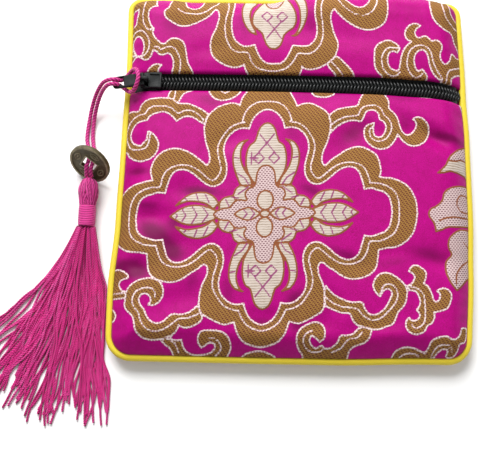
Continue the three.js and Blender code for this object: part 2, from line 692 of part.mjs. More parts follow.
function cordLoop() {
  const points = CORD_ROUTE.map((point) => new THREE.Vector3(...point));
  const route = new THREE.CatmullRomCurve3(points, false, 'centripetal');
  const section = new THREE.Shape();
  for (let side = 0; side < CORD_SIDES; side++) {
    const angle = (side / CORD_SIDES) * 2 * Math.PI;
    const x = (CORD_DIAMETER / 2) * Math.cos(angle);
    const y = (CORD_DIAMETER / 2) * Math.sin(angle);
    if (side === 0) section.moveTo(x, y);
    else section.lineTo(x, y);
  }
  section.closePath();
  return new THREE.ExtrudeGeometry(section, { steps: CORD_STEPS, extrudePath: route });
}

function square(side, turn) {
  return [0, 1, 2, 3].map((corner) => {
    const angle = radians(turn + 45 + corner * 90);
    return new THREE.Vector2(Math.cos(angle), Math.sin(angle)).multiplyScalar(side / Math.SQRT2);
  });
}

function circle(radius, sides) {
  return Array.from({ length: sides }, (_, i) => {
    const angle = (i / sides) * 2 * Math.PI;
    return new THREE.Vector2(Math.cos(angle), Math.sin(angle)).multiplyScalar(radius);
  });
}

// A plate between two outlines, centred on its own plane
function plate(outer, inner, thickness) {
  const shape = new THREE.Shape(outer);
  shape.holes.push(new THREE.Path([...inner].reverse()));
  return extrudeUp(shape, -thickness / 2, thickness);
}

function coin() {
  const radius = COIN_DIAMETER / 2;
  const hole = square(COIN_HOLE, COIN_HOLE_TURN);
  const border = square(COIN_HOLE + 2 * COIN_HOLE_BORDER, COIN_HOLE_TURN);
  const rim = circle(radius - COIN_RIM_WIDTH, COIN_SIDES);
  return fuse([
    plate(circle(radius, COIN_SIDES), hole, COIN_WEB),
    plate(circle(radius, COIN_SIDES), rim, COIN_RIM),
    plate(border, hole, COIN_RIM),
  ]);
}

// A turned body that hangs down from its origin
function turned(profile, length, radius) {
  const points = profile.map(([down, out]) => new THREE.Vector2(out * radius, -down * length));
  return new THREE.LatheGeometry(points.reverse(), TASSEL_SIDES);
}

// One lock of the skirt: a flattened tapering body that drops to the table and lies on it
function skirtLock([start, headOut, headTip, lengthShare, widthShare, heightShare], top) {
  const length = SKIRT_LENGTH * lengthShare;
  const step = length / LOCK_STEPS;
  const position = new THREE.Vector2(top.x + start * BINDING_RADIUS, top.y);
  const sections = [];
  for (let index = 0; index <= LOCK_STEPS; index++) {
    const share = index / LOCK_STEPS;
    const heading = radians(THREE.MathUtils.lerp(headOut, headTip, share));
    const across = new THREE.Vector2(Math.cos(heading), Math.sin(heading));
    const spread = interpolate(LOCK_SPREAD, share);
    const halfWidth = (LOCK_WIDTH * widthShare * spread) / 2;
    const height = LOCK_HEIGHT * Math.max(heightShare, 0.9) * interpolate(LOCK_DEPTH, share);
    const floor = interpolate(LOCK_FALL, share) * (top.z - height / 2);
    const lift = (heightShare - 1) * LOCK_HEIGHT * Math.max(0, 1 - share) * 0.6;
    const middle = Math.max(floor + Math.max(lift, 0), 0) + height / 2;
    sections.push(Array.from({ length: LOCK_SIDES }, (_, side) => {
      const angle = ((side + 0.5) / LOCK_SIDES) * 2 * Math.PI;
      const out = halfWidth * Math.cos(angle);
      const up = (height / 2) * Math.sin(angle);
      const x = position.x + across.x * out;
      const y = position.y + across.y * out;
      return new THREE.Vector3(x, y, middle + up);
    }));
    position.x += Math.sin(heading) * step;
    position.y -= Math.cos(heading) * step;
  }
  return loft(sections);
}

function tasselSkirt(top) {
  const core = new THREE.CylinderGeometry(SKIRT_CORE_RADIUS, SKIRT_CORE_RADIUS * 0.9,
    SKIRT_CORE_LENGTH, TASSEL_SIDES);
  core.translate(top.x, top.y - SKIRT_CORE_LENGTH / 2, top.z);
  const rootLine = new THREE.Vector3(top.x, top.y - SKIRT_ROOT, top.z);
  return fuse([core, ...SKIRT_LOCKS.map((lock) => skirtLock(lock, rootLine))]);
}

addPiece('back_panel', backPanel(), FINISH.brocade);
addPiece('front_lower_panel', frontLowerPanel(), FINISH.brocade);
addPiece('front_upper_panel', frontUpperPanel(), FINISH.brocade);
addPiece('edge_piping', edgePiping(), FINISH.piping);
addPiece('zipper_tape_upper', zipperTape(1), FINISH.tape);
addPiece('zipper_tape_lower', zipperTape(-1), FINISH.tape);
addPiece('zipper_coil_upper', zipperCoil(1), FINISH.coil);
addPiece('zipper_coil_lower', zipperCoil(-1), FINISH.coil);
addPiece('zipper_slider', zipperSlider(), FINISH.pull);

const tab = addPiece('pull_tab', pullTab(), FINISH.pull);
tab.rotation.set(0, radians(TAB_DROP), radians(180 + TAB_SWING), 'ZYX');
tab.position.set(BAIL_LEFT + BAIL_THICKNESS + GAP + TAB_CROSSBAR, 0, CROSSBAR_LEVEL)
  .add(SLIDER_SHIFT);

addPiece('cord_loop', cordLoop(), FINISH.cord);

const coinMesh = addPiece('coin', coin(), FINISH.bronze);
const facing = COIN_FACING.clone().normalize();
const level = new THREE.Vector3(0, 0, 1).cross(facing).normalize();
const coinFrame = new THREE.Matrix4().makeBasis(level, facing.clone().cross(level), facing);
coinMesh.quaternion.setFromRotationMatrix(coinFrame);
coinMesh.position.copy(COIN_CENTRE);

// Head and binding lie on one line, which leans down to the table towards the skirt
const tassel = new THREE.Group();
tassel.position.copy(HEAD_TOP);
tassel.rotation.x = radians(TASSEL_LEAN);
group.add(tassel);
const head = turned(HEAD_PROFILE, HEAD_LENGTH, HEAD_RADIUS);
addPiece('tassel_head', head, FINISH.cord, tassel);
const bindingProfile = [[0, 0], [0, 0.94], [0.1, 1], [0.9, 1], [1, 0.94], [1, 0]];
const binding = turned(bindingProfile, BINDING_LENGTH, BINDING_RADIUS);
addPiece('tassel_binding', binding, FINISH.cord, tassel).position.y = -HEAD_LENGTH - GAP;

const lean = radians(TASSEL_LEAN);
const reach = HEAD_LENGTH + GAP + BINDING_LENGTH + GAP;
const skirtTop = HEAD_TOP.clone().add(new THREE.Vector3(0, -Math.cos(lean), -Math.sin(lean))
  .multiplyScalar(reach));
addPiece('tassel_skirt', tasselSkirt(skirtTop), FINISH.cord);

export default group;
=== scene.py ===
"""Dresses a brocade coin purse, its zipper, coin and tassel for a photographic render.

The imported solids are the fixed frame. Sizes here are in millimetres and become metres when a
mesh is made, in the row's frame: +Z up, origin on the table under the middle of the purse.
"""

import logging
import math
from dataclasses import dataclass
from enum import Enum

import bpy
import numpy as np
from mathutils import Matrix, Vector


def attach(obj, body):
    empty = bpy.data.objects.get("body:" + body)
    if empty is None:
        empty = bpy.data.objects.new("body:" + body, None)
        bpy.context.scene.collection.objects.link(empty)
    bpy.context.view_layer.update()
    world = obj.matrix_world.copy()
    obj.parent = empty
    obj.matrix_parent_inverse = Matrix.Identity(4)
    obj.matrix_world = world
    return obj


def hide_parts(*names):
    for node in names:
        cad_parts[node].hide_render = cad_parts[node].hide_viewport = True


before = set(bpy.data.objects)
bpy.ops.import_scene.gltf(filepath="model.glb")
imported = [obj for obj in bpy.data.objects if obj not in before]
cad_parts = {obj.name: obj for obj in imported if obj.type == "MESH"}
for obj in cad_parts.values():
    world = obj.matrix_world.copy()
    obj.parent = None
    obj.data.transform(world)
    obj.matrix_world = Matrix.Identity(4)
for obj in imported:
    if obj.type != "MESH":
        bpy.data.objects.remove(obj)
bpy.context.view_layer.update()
MM = 0.001
BODY = "root"
log = logging.getLogger("purse")

NUMBER = "NodeSocketFloat"

Table = tuple[tuple[float, ...], ...]
Colour = tuple[float, ...]


class Slot(Enum):
    """Material slots of the record, by name."""

    BROCADE = "brocade"
    PIPING = "piping"
    TAPE = "zipper_tape"
    COIL = "zipper_coil"
    METAL = "pull_metal"
    CORD = "cord"
    BRONZE = "bronze"


# Route of the cord, as the part's source gives it
CORD_ROUTE: Table = (
    (-66.05, -2.55, 4.15), (-66.15, -1.3, 5.3), (-66.15, -0.5, 5.9), (-65.65, 0.9, 6.25),
    (-65.45, 2.3, 6.1), (-65.5, 4.0, 5.0), (-65.9, 6.2, 3.0), (-66.5, 8.6, 1.35),
    (-67.1, 11.6, 0.75), (-67.2, 14.8, 0.75), (-66.95, 17.9, 1.3), (-66.4, 20.3, 2.7),
    (-65.4, 22.7, 4.9), (-64.1, 24.7, 7.4), (-62.5, 26.0, 10.0), (-60.9, 26.5, 11.9),
    (-59.4, 26.67, 12.3), (-58.2, 26.8, 11.7), (-57.3, 26.75, 10.5), (-56.2, 26.3, 9.5),
    (-54.7, 25.2, 9.6), (-53.2, 24.5, 11.1), (-52.0, 25.1, 13.0), (-51.2, 26.6, 14.3),
    (-50.9, 28.3, 14.7), (-51.2, 30.0, 14.3), (-52.0, 31.5, 13.0), (-53.3, 32.1, 11.1),
    (-54.8, 31.3, 9.5), (-56.2, 29.6, 9.4), (-57.3, 28.5, 10.5), (-58.2, 28.35, 11.7),
    (-59.4, 28.22, 12.3), (-60.9, 28.1, 12.1), (-62.9, 27.8, 10.4), (-64.6, 26.8, 8.0),
    (-66.3, 24.8, 5.2), (-67.6, 21.9, 2.8), (-68.4, 18.7, 1.3), (-68.9, 15.0, 0.75),
    (-69.0, 11.4, 0.75), (-68.3, 8.4, 1.4), (-67.4, 6.3, 3.1), (-67.0, 4.3, 4.9),
    (-66.8, 2.9, 6.15), (-67.0, 1.65, 6.5), (-67.45, 0.2, 6.3), (-67.55, -0.9, 5.5),
    (-67.6, -2.55, 4.15),
)

# Bow of each side, droop of the zipper's line and dents of the front, as in the part's source
SIDE_BOWS: dict[str, Table] = {
    "left": ((-1, 0.8), (-0.64, 1.1), (-0.28, -0.2), (0.15, -0.6), (0.56, -1.0), (1, -0.4)),
    "right": ((-1, -1.4), (-0.5, 0.0), (-0.24, 0.5), (0.2, 0.2), (0.45, -0.5), (1, -1.4)),
    "bottom": ((-1, 0.1), (-0.2, 0.1), (0.2, 0.0), (0.75, -0.9), (1, -1.0)),
    "top": ((-1, -0.8), (-0.3, -0.3), (0.5, 0.6), (1, -0.4)),
}
ZIP_LINE_DROPS: Table = ((-1, 0), (0, 0), (0.4, 0.1), (0.72, 0.38), (0.9, 0.75), (1, 1.1))
FRONT_DENTS: Table = (
    (-0.91, -0.04, 0.1, 0.06, 0, 0.7), (-0.76, -0.28, 0.14, 0.13, 20, 0.9),
    (0.68, 0.24, 0.24, 0.05, -29, 0.8), (0.25, 0.11, 0.14, 0.1, 0, 0.5),
    (-0.6, -0.12, 0.17, 0.06, 10, 0.45), (-0.6, -0.9, 0.24, 0.07, 0, 0.6),
    (-0.56, -0.76, 0.12, 0.07, 0, -0.45), (0.36, -0.84, 0.2, 0.06, 6, 0.4),
    (0.86, -0.42, 0.08, 0.2, 0, 0.35), (0.1, 0.76, 0.3, 0.06, 3, 0.35),
)

# Shallow folds of the front's cloth alone: x, y, reach along, reach across, turn, depth
FRONT_FOLDS: Table = (
    (-46, -16.5, 6, 3, 0, 0.75), (-50, -32.5, 8, 3.4, -5, 1.0), (-33, -29, 9, 4.5, 0, 0.45),
    (-36, -44, 7, 5, 20, 0.6), (44, -29, 7, 3.6, -15, 0.8), (30, -27, 6, 3, 0, 0.3),
    (29, -53, 10, 3, 10, -0.4), (9, -49, 5, 3, 25, 0.45), (12, -42, 5, 3, -35, 0.4),
    (20, -31, 6, 3, 0, 0.4), (-8, -48, 6, 3, 0, 0.5), (-44, -52, 9, 3.4, 4, -0.35),
    (24, 13, 8, 3, -22, 0.5), (15, 12, 5, 3, -40, 0.5), (-36, -25, 6, 3, 10, 0.4),
    (-22, 8, 6, 3.4, 25, 0.45), (-38, 20, 8, 3, 4, -0.3), (3, -55, 6, 3, 0, -0.3),
    (45, 11, 7, 3, -25, 0.95), (4, 22, 10, 2.6, 0, 0.35), (-48, 4, 4, 5, 10, 0.5),
    (50, -6, 3, 7, 0, 0.3), (-28, 40, 8, 3, 8, 0.35), (18, 44, 9, 3, -6, 0.35),
)
# Patches of painted shade where the satin turns from the light: x, y, half length, half width,
# turn in degrees and strength
SATIN_PAINTED_SHADES: Table = (
    (-50.5, -33.5, 7, 3.4, -10, 1.1), (-44, -22, 6, 3.6, -35, 0.9), (-38, -28, 5, 3.6, -30, 0.8),
    (-30, -8.5, 7, 2, -3, 0.8), (-47, -13, 5, 1.5, 0, 0.5), (-37.5, -18.5, 3, 3, 0, 0.6),
    (-50.5, -2, 5, 1.7, 0, 0.65), (-20, -40, 2.6, 6, 0, 0.45), (-9.5, -49.4, 6, 2, 0, 0.6),
    (0.5, -42, 4.5, 3, 40, 0.7), (1.5, -50, 3, 3, 0, 0.6), (18.5, 12, 8, 3.6, 35, 0.6),
    (35, 15.5, 3, 4, 0, 0.5), (49, 11.5, 8, 1.7, -12, 0.75), (34, 24.6, 8, 1.4, -8, 0.4),
    (5, -7.5, 5, 2, -20, 0.6), (16, -28, 7, 2, -20, 0.6), (43, -27.5, 9, 2.6, -15, 0.5),
    (31, -30, 7, 2, 8, 0.35), (-28, 22, 6, 2.6, -15, 0.45), (-31, -37, 3, 5, -20, 0.45),
    (-1, 11, 3, 5, 20, 0.35), (-17, 50, 2.5, 6, 0, 0.4), (5, 50, 2.5, 6, 0, 0.4),
    (-41, 48, 5, 4, -30, 0.45), (35, 54, 10, 2, 0, 0.3), (9, 25.6, 14, 1.3, 0, 0.5),
)
# How strongly the front swells over the piping along the top: x and share
TOP_SWELLS: Table = ((-57, 0), (-49, 0.4), (-41, 0.4), (-34, 0), (-9, 0), (-1, 0.8), (10, 1),
                     (44, 1), (51, 0.6), (57, 0))

# The brocade's chart, drawn point by point. Quarter outlines are from the flower's centre.
FLOWER_CENTRE = (-9.3, -15.5)
WEFT_TILT = 0.039
WARP_TILT = 0.009
DIVIDER: Table = ((10, 6), (9, 4.4))
FIELD_QUARTER: Table = (
    (0, 34.5), (1.7, 34), (3.7, 32.4), (5.1, 29.9), (5.6, 27.9), (7.3, 28.2), (9.3, 27.9),
    (10.9, 26.9), (12.5, 25), (13.3, 22.6), (13.3, 20.2), (12.7, 17.8), (12.2, 15), (12.5, 12.2),
    (13.7, 10.2), (15.9, 9.2), (17.7, 9.6), (20.1, 11.3), (22.5, 13.4), (25.3, 14.8),
    (27.7, 14.6), (29.3, 13.2), (30.3, 10.5), (31.1, 7.4), (33.3, 7.7), (35.3, 7.1), (37.3, 6.4),
    (38.9, 4.8), (39.6, 2), (39.8, 0),
)
LINE_QUARTER: Table = (
    (7.1, 30.1), (9.3, 29.7), (11.7, 28.4), (13.7, 25.8), (15.1, 23), (15.2, 20.3), (14.5, 17.1),
    (14, 14.7), (14.9, 12.3), (16.5, 11.1), (18.1, 12), (20.5, 14.1), (23.3, 15.8), (26.1, 16.3),
    (28.9, 15.8), (30.9, 14.5), (32.1, 12.2), (32.9, 9.4), (35.3, 9.3), (38.1, 8.4), (40.5, 6.7),
    (41.7, 4.1), (42.1, 0),
)
LINE_FOOT: Table = ((0, 36.4), (2.1, 35.9), (4.5, 34.5), (6.3, 32.1), (7.1, 30.1))
LINE_CROWN: Table = (
    (-17, 14.8), (-16.6, 16.6), (-15.4, 19), (-13.8, 20.6), (-12, 21.6), (-10, 21.9), (-7, 21.9),
    (-4.8, 21.2), (-3, 19.6), (-1.8, 17.2), (-1.3, 15),
)
OUTER_QUARTER: Table = (
    (0, 41.1), (2.9, 40.6), (5.3, 39.5), (6.9, 37.6), (7.9, 35.2), (8.3, 33.6), (9.3, 33.9),
    (11.3, 34.3), (13.7, 33.4), (16.5, 31.9), (18.5, 30.4), (19, 28), (19, 25.2), (18.3, 22),
    (17.1, 19.2), (16.9, 17.2), (17.5, 15.8), (18.5, 15.8), (19.7, 16.9), (22.1, 18.4),
    (24.5, 20.1), (27.3, 21), (30.1, 20.7), (32.9, 19.6), (34.7, 17.7), (35.3, 15.1),
    (35.6, 11.9), (38.1, 11.4), (40.9, 11.1), (43.3, 10), (45.3, 8.3), (46.7, 5.9), (47.5, 2.4),
    (47.7, 0),
)
OUTER_LEFT: Table = (
    (-15.8, 29), (-15.8, 25.6), (-17, 23.6), (-17.6, 22), (-18, 20.2), (-19, 20.9), (-21, 21.1),
    (-23, 20.5), (-25, 19.6), (-26.6, 18.2), (-27.8, 16.8), (-28.6, 15.4), (-28.8, 14.2),
    (-29.2, 12.6), (-29, 10), (-28.6, 7.8), (-28, 5.8), (-27.4, 4), (-27.1, 2.2), (-27.3, 0.6),
    (-28, -0.2), (-29.2, 0.8), (-31, 2.2), (-33, 3.6), (-35, 4.6), (-37, 5.1), (-39, 5.2),
    (-41, 4.7), (-43, 3.5), (-44.6, 1.8), (-45.4, 0), (-45.8, -2), (-45.4, -4), (-45, -5.3),
    (-46.6, -5.5), (-48, -5.9), (-50, -6.3), (-52.2, -7), (-54, -8.2), (-55.4, -9.6),
    (-56.4, -11.4), (-57.2, -14),
)
OUTER_RIGHT: Table = (
    (38.4, -14), (38.3, -12), (38, -10), (37.2, -8), (36, -6), (34, -4.4), (32, -3.5), (30, -3),
    (28, -3), (26.6, -2.7), (27.1, -1), (26.9, 1), (26.4, 3), (25.6, 4.6), (24, 5.8), (22, 6.8),
    (20, 7.2), (18, 6.8), (16, 5.9), (14, 4.4), (12, 3), (10.6, 1.6), (9.4, 0.4), (8.8, 1),
    (8.4, 2.8), (8.8, 5), (9.8, 7.6), (10.6, 10), (11, 12), (11.2, 14.6), (11, 16.6), (10.4, 18),
    (9, 19.5), (7, 20.8), (5.2, 21.7), (3.4, 21.8), (1.6, 21.2), (0.4, 20.5), (0.2, 21.5),
    (-0.6, 23.4), (-1.6, 25.4), (-1.6, 29),
)

# Gold scrolls and clouds below the zipper
LOWER_SCROLLS: tuple[Table, ...] = (
    ((-58, 17.2), (-55.9, 17.8), (-55.2, 18.5), (-53.4, 18.8), (-51.6, 18.3), (-50.7, 18.4),
     (-50.4, 19.4), (-49.6, 20.8), (-48, 22), (-46, 22.5), (-43.6, 22.8), (-41.4, 22.6),
     (-41.2, 24.4), (-40.4, 26), (-40.4, 28), (-33, 28), (-33.6, 25.8), (-35.4, 25), (-36.6, 24),
     (-37.2, 22.8), (-38, 20.6), (-36.4, 20.5), (-34.8, 20.5), (-33, 19.9), (-31, 19),
     (-29.4, 18), (-28.1, 17), (-28.7, 15.4), (-29, 13.6), (-30.6, 14.3), (-32, 15.3),
     (-33.6, 16), (-35.2, 16.1), (-36.6, 15.6), (-37.6, 14.9), (-38.2, 14.5), (-39.2, 15.6),
     (-40.8, 17), (-42.6, 17.6), (-44.4, 17.3), (-46, 16.7), (-47.2, 15.8), (-47.6, 14.8),
     (-49, 14.6), (-51, 14.2), (-52.6, 12.8), (-53.2, 11), (-53, 9), (-52, 7.4), (-50.6, 6.6),
     (-49.6, 6.3), (-48.6, 7.2), (-47.6, 8.4), (-47.4, 9.8), (-47.2, 11), (-46, 10.4),
     (-44.8, 9.2), (-43.8, 7.4), (-43.8, 5.4), (-44.4, 3.8), (-45.6, 2.4), (-47.4, 1.5),
     (-49.6, 1.2), (-51.6, 1.9), (-53.4, 3.4), (-54.4, 5), (-55.8, 5.4), (-58, 5.4)),
    ((-28.2, 28), (-28.2, 25.6), (-27.6, 24.2), (-26.6, 23), (-25, 22.2), (-23, 22.1),
     (-21, 22.7), (-19.6, 23.6), (-18.4, 24.8), (-17.8, 25.8), (-17.8, 28)),
    ((5.2, 28), (5.4, 25.2), (6.4, 24.4), (8, 24.1), (10, 24.1), (11.4, 24.6), (12.5, 25.3),
     (12.6, 28)),
    ((39.4, 28), (39.4, 25.8), (41, 25.4), (45, 25.3), (47, 25.7), (47, 28)),
    ((53.8, 28), (53.8, 25.6), (54.2, 24), (55, 22), (56, 20.2), (58, 20), (58, 28)),
    ((10.9, 17.4), (12, 18.6), (13.4, 19.6), (15.6, 20.3), (18, 20.7), (20, 21.3), (20.6, 23),
     (21.4, 24.6), (22, 26), (22, 28), (29, 28), (29.2, 25.2), (29.9, 24), (30.2, 22.6),
     (30.2, 20.8), (31.4, 19.6), (32.4, 18.4), (33, 17), (33.4, 15), (34, 13), (35, 11.8),
     (36, 11.5), (37.4, 12.4), (38.6, 14), (39.1, 15.4), (38.6, 16.8), (37.9, 17.2), (39, 17.9),
     (40.4, 17.7), (42, 16.5), (43, 14.6), (43.1, 12.8), (42.4, 11), (41.2, 9.4), (39.6, 8.3),
     (37.8, 7.8), (36, 8.2), (34.4, 9.4), (33.4, 10.6), (32.7, 11.7), (32.2, 10.4), (31, 8.6),
     (29.4, 7), (27.4, 6.5), (25.4, 6.8), (23.6, 8), (22.4, 9.8), (22, 11.8), (22.2, 13.4),
     (23, 14.6), (24.2, 15), (25.2, 15.4), (25, 13.8), (25, 12.4), (25.4, 11.2), (26.4, 10.6),
     (27.4, 10.7), (28.4, 11.8), (29, 13.6), (28.8, 15), (28, 16), (27, 16.6), (26.8, 17.6),
     (26.6, 18.6), (25.6, 19.6), (24, 19.7), (22.6, 19), (22, 17.6), (21, 15.8), (19.4, 16),
     (17, 15.8), (15, 15), (13.2, 13.8), (12, 12.6), (11.2, 11.6), (11.2, 14.6)),
    ((9.8, -37.6), (12, -40), (14.8, -41.6), (18, -42.6), (21, -42.6), (21.8, -44.4),
     (23.2, -46), (25, -46.2), (26.8, -45.2), (28.4, -43.6), (29.6, -41.2), (30.2, -39.6),
     (29.8, -38.6), (28.6, -38.2), (27.6, -38.8), (26.6, -40.6), (25.4, -39.6), (24.4, -37.6),
     (24.8, -35.6), (26, -34), (28, -33.2), (30, -33.6), (32, -34.8), (33.6, -36.2),
     (34.6, -37.6), (34.8, -40), (34.2, -42.4), (33.2, -44), (32, -45.2), (31.4, -46.8),
     (30.4, -48.8), (28, -49.8), (26, -50.6), (24, -50.6), (21, -49.8), (19.2, -49.2),
     (18, -47.6), (17.2, -46), (14.8, -45.8), (12, -44.8), (9.8, -43.6)),
    ((3.2, -58.8), (2, -57.2), (1.2, -55.2), (1.2, -52.8), (2.4, -50.8), (4, -49.8), (6, -48.9),
     (8, -49), (9.4, -50.2), (9.7, -52), (9.4, -53.8), (8.2, -54.7), (7.4, -54), (5.6, -52.8),
     (5, -54), (5.6, -55.6), (7.2, -56.6), (8.8, -55.8), (10, -56.6), (12, -56.2),
     (13.6, -54.8), (14.4, -52.8), (16.4, -52.6), (18, -52.2), (19.6, -50.8), (20.8, -50),
     (24, -50.6), (23.8, -51.4), (23.2, -53.2), (21.6, -54.8), (19.2, -55.6), (17.6, -56.8),
     (17, -59.6), (17, -62), (3.2, -62)),
    ((34.6, -37.2), (36, -36.6), (37, -35.2), (37.2, -33.8), (35.4, -32.6), (36.2, -31.2),
     (37.8, -30.6), (39.6, -31.4), (40.8, -32.8), (40.7, -34.4), (40, -36.2), (41.4, -37.2),
     (42.4, -39.2), (43.2, -41.6), (44, -41.8), (44.8, -40.8), (45, -39.4), (44, -38.4),
     (46, -37.5), (47.6, -38), (48.6, -39.6), (48.2, -41.6), (47.2, -43.6), (44.8, -44.6),
     (43, -45), (43.1, -46.4), (42.4, -48.2), (40.8, -49.2), (40, -50.8), (38, -51.8),
     (36, -51.6), (34.6, -50.4), (34.4, -48), (35.4, -46.8), (36, -47.6), (37.2, -47.7),
     (38.4, -46.8), (38.6, -45.6), (37.6, -44.4), (38.6, -43.2), (38.8, -41.6), (38.2, -39.6),
     (37.2, -38.6), (35.2, -38.2)),
    ((30.6, -62), (30.6, -59.6), (31.4, -57.2), (33.2, -56), (35.6, -55.6), (38, -56.2),
     (40.8, -57.4), (41.6, -55.6), (42.4, -53.6), (44.4, -52.6), (46.8, -52.2), (48.4, -53),
     (50, -52.8), (51.4, -51.4), (52.2, -49.4), (54, -49.4), (53.8, -52), (53.2, -53.6),
     (51.2, -54.4), (50.8, -56), (50, -57.8), (48.6, -58.6), (47.4, -58), (47.6, -56.2),
     (46, -56), (44.6, -57), (43.8, -58.8), (43.8, -62)),
    ((-51.6, -40.8), (-50.8, -39.2), (-48.8, -37.6), (-46, -36.5), (-43.2, -36.6),
     (-41.2, -37.6), (-40.2, -39.6), (-40.2, -41.6), (-41.2, -43.6), (-42.8, -44.7),
     (-44.6, -44.6), (-43.8, -43.4), (-44.2, -42), (-45.6, -41.2), (-47, -41.8),
     (-47.5, -43.2), (-47, -44.6), (-45.8, -46), (-45, -47.8), (-43.8, -49.4), (-42, -50.2),
     (-40, -49.8), (-38.4, -48.4), (-37.2, -47.4), (-34, -47.4), (-31.6, -46.6),
     (-30, -45.2), (-29.3, -44.6), (-27.8, -48.6), (-28.4, -49.4), (-30.4, -50.8),
     (-33.2, -51.4), (-35, -50.6), (-35.2, -51.6), (-36.8, -53.6), (-39.2, -54.6),
     (-42, -55.2), (-44.8, -55), (-46.8, -54), (-48.2, -52), (-48.6, -50), (-49.2, -48.2),
     (-51.2, -46.4), (-52, -44.8), (-51.8, -42.8)),
    ((-59, -33.6), (-56, -33.6), (-54.8, -33.6), (-52.8, -34.4), (-51.4, -35.6),
     (-51.3, -36.5), (-52.8, -36.7), (-54.2, -37.6), (-54, -39.2), (-52.8, -40.4),
     (-51.6, -40.9), (-52, -42.7), (-59, -42.7)),
    ((-59, -46), (-56.4, -46), (-55.2, -47.2), (-55, -48.2), (-55.6, -49.6), (-57.2, -50),
     (-59, -50)),
    ((-27.8, -57.2), (-28.8, -56), (-29, -54), (-28, -52.4), (-25.2, -52), (-22.4, -52.2),
     (-20.4, -53.2), (-19.2, -55.2), (-19, -57.6), (-20, -59.6), (-20, -62), (-36.8, -62),
     (-36.8, -59.2), (-37.6, -57.6), (-39.2, -56.4), (-40.4, -55.2), (-37.6, -53.8),
     (-36.8, -55), (-34, -55), (-33.8, -56.4), (-32.8, -58.2), (-30.8, -59.2),
     (-27.6, -59.2), (-25.2, -58.6), (-23.8, -57.2), (-23.8, -56), (-25.2, -55.6),
     (-26.4, -56.2)),
    ((-15.6, -62), (-15.6, -59.8), (-14, -58.6), (-10, -57.8), (-6.8, -58.6), (-5.2, -59.6),
     (-5.2, -62)),
)
LOWER_LINES: tuple[Table, ...] = (
    ((-39.2, 26), (-39.2, 23.6), (-39.6, 22.2)),
    ((-41.4, 22.6), (-39.8, 22.1), (-38.8, 21.2), (-38, 20.5)),
    ((-29.4, 14.8), (-31, 16.6), (-32.4, 17.6), (-34.4, 18.2), (-36.2, 17.9), (-37.6, 17.1),
     (-38.8, 17.8), (-40, 18.8), (-42, 19.5), (-44.4, 19.6), (-46.4, 19.4), (-47.8, 18.2),
     (-48.8, 16.8), (-50.8, 16.7), (-52.8, 15.8), (-54, 14.4), (-54.8, 12.4), (-54.8, 10),
     (-54.2, 8), (-53, 6), (-51.2, 5.1), (-49, 5.1), (-47.6, 5.8), (-46.9, 7.4), (-46.6, 9),
     (-46.6, 10)),
    ((-24.6, 26), (-23, 24.6), (-21.6, 25.8)),
    ((11.4, 14.2), (13, 15.6), (15, 16.7), (16.6, 17.2), (18.4, 17.5), (20, 17.7), (20.6, 19),
     (21.4, 20.4), (22.6, 21.1), (24.6, 21.5), (26.4, 21.4), (27.6, 20.4), (28.2, 19),
     (28.6, 18), (29.6, 17.2), (30.4, 16), (30.8, 14.2), (30.4, 12.2), (29.6, 10.8),
     (28.2, 9.6), (26.8, 9.2), (25.4, 9.4), (24.2, 10.4), (23.7, 12), (23.8, 13), (24.4, 13.9)),
    ((9.8, -41), (12, -42.8), (15.2, -44), (19.6, -44.6), (20.8, -46), (22.8, -47.4),
     (24.8, -47.8), (27.2, -46.8), (29.2, -44.8), (31.2, -42.4), (31.9, -40), (31.4, -38),
     (30, -36.8), (28.4, -36.8), (27.2, -37.8), (26.7, -39.6)),
    ((35.6, -37.2), (38.4, -38), (40, -40), (40.2, -42.4), (40.3, -46), (40, -48),
     (38.4, -49.6), (37, -50), (36, -48.8)),
    ((6, -51.4), (4.4, -52), (3.2, -53.6), (3.6, -56), (5.6, -57.6), (8, -57.6), (9.2, -57)),
    ((21, -51.6), (19.2, -53.4), (16.8, -53.8), (14.8, -56.4), (12, -57.6)),
    ((32.6, -60), (33.2, -58.6), (34.8, -57.6), (37, -57.4), (39, -58.2)),
    ((42.8, -59.2), (43.6, -56), (46, -54.6), (48.4, -55.2), (49, -56.8)),
    ((-42.6, -42.2), (-42.8, -40.4), (-44.4, -39.4), (-46.4, -39.6), (-48.4, -40.6),
     (-49.4, -42.4), (-49.2, -44.8), (-47.4, -47.2), (-46.6, -49.6), (-45.2, -51.6),
     (-42.8, -52.6), (-40, -52.2), (-37.6, -50.8), (-35, -48.8), (-32, -48.4), (-29, -47.2)),
    ((-58, -41.1), (-51.8, -41.1)),
    ((-38.4, -54.8), (-36, -56.2), (-35, -58.8)),
    ((-26.4, -54.6), (-24, -54.4), (-22.4, -55.6), (-22, -57.6), (-23.6, -59.4)),
)

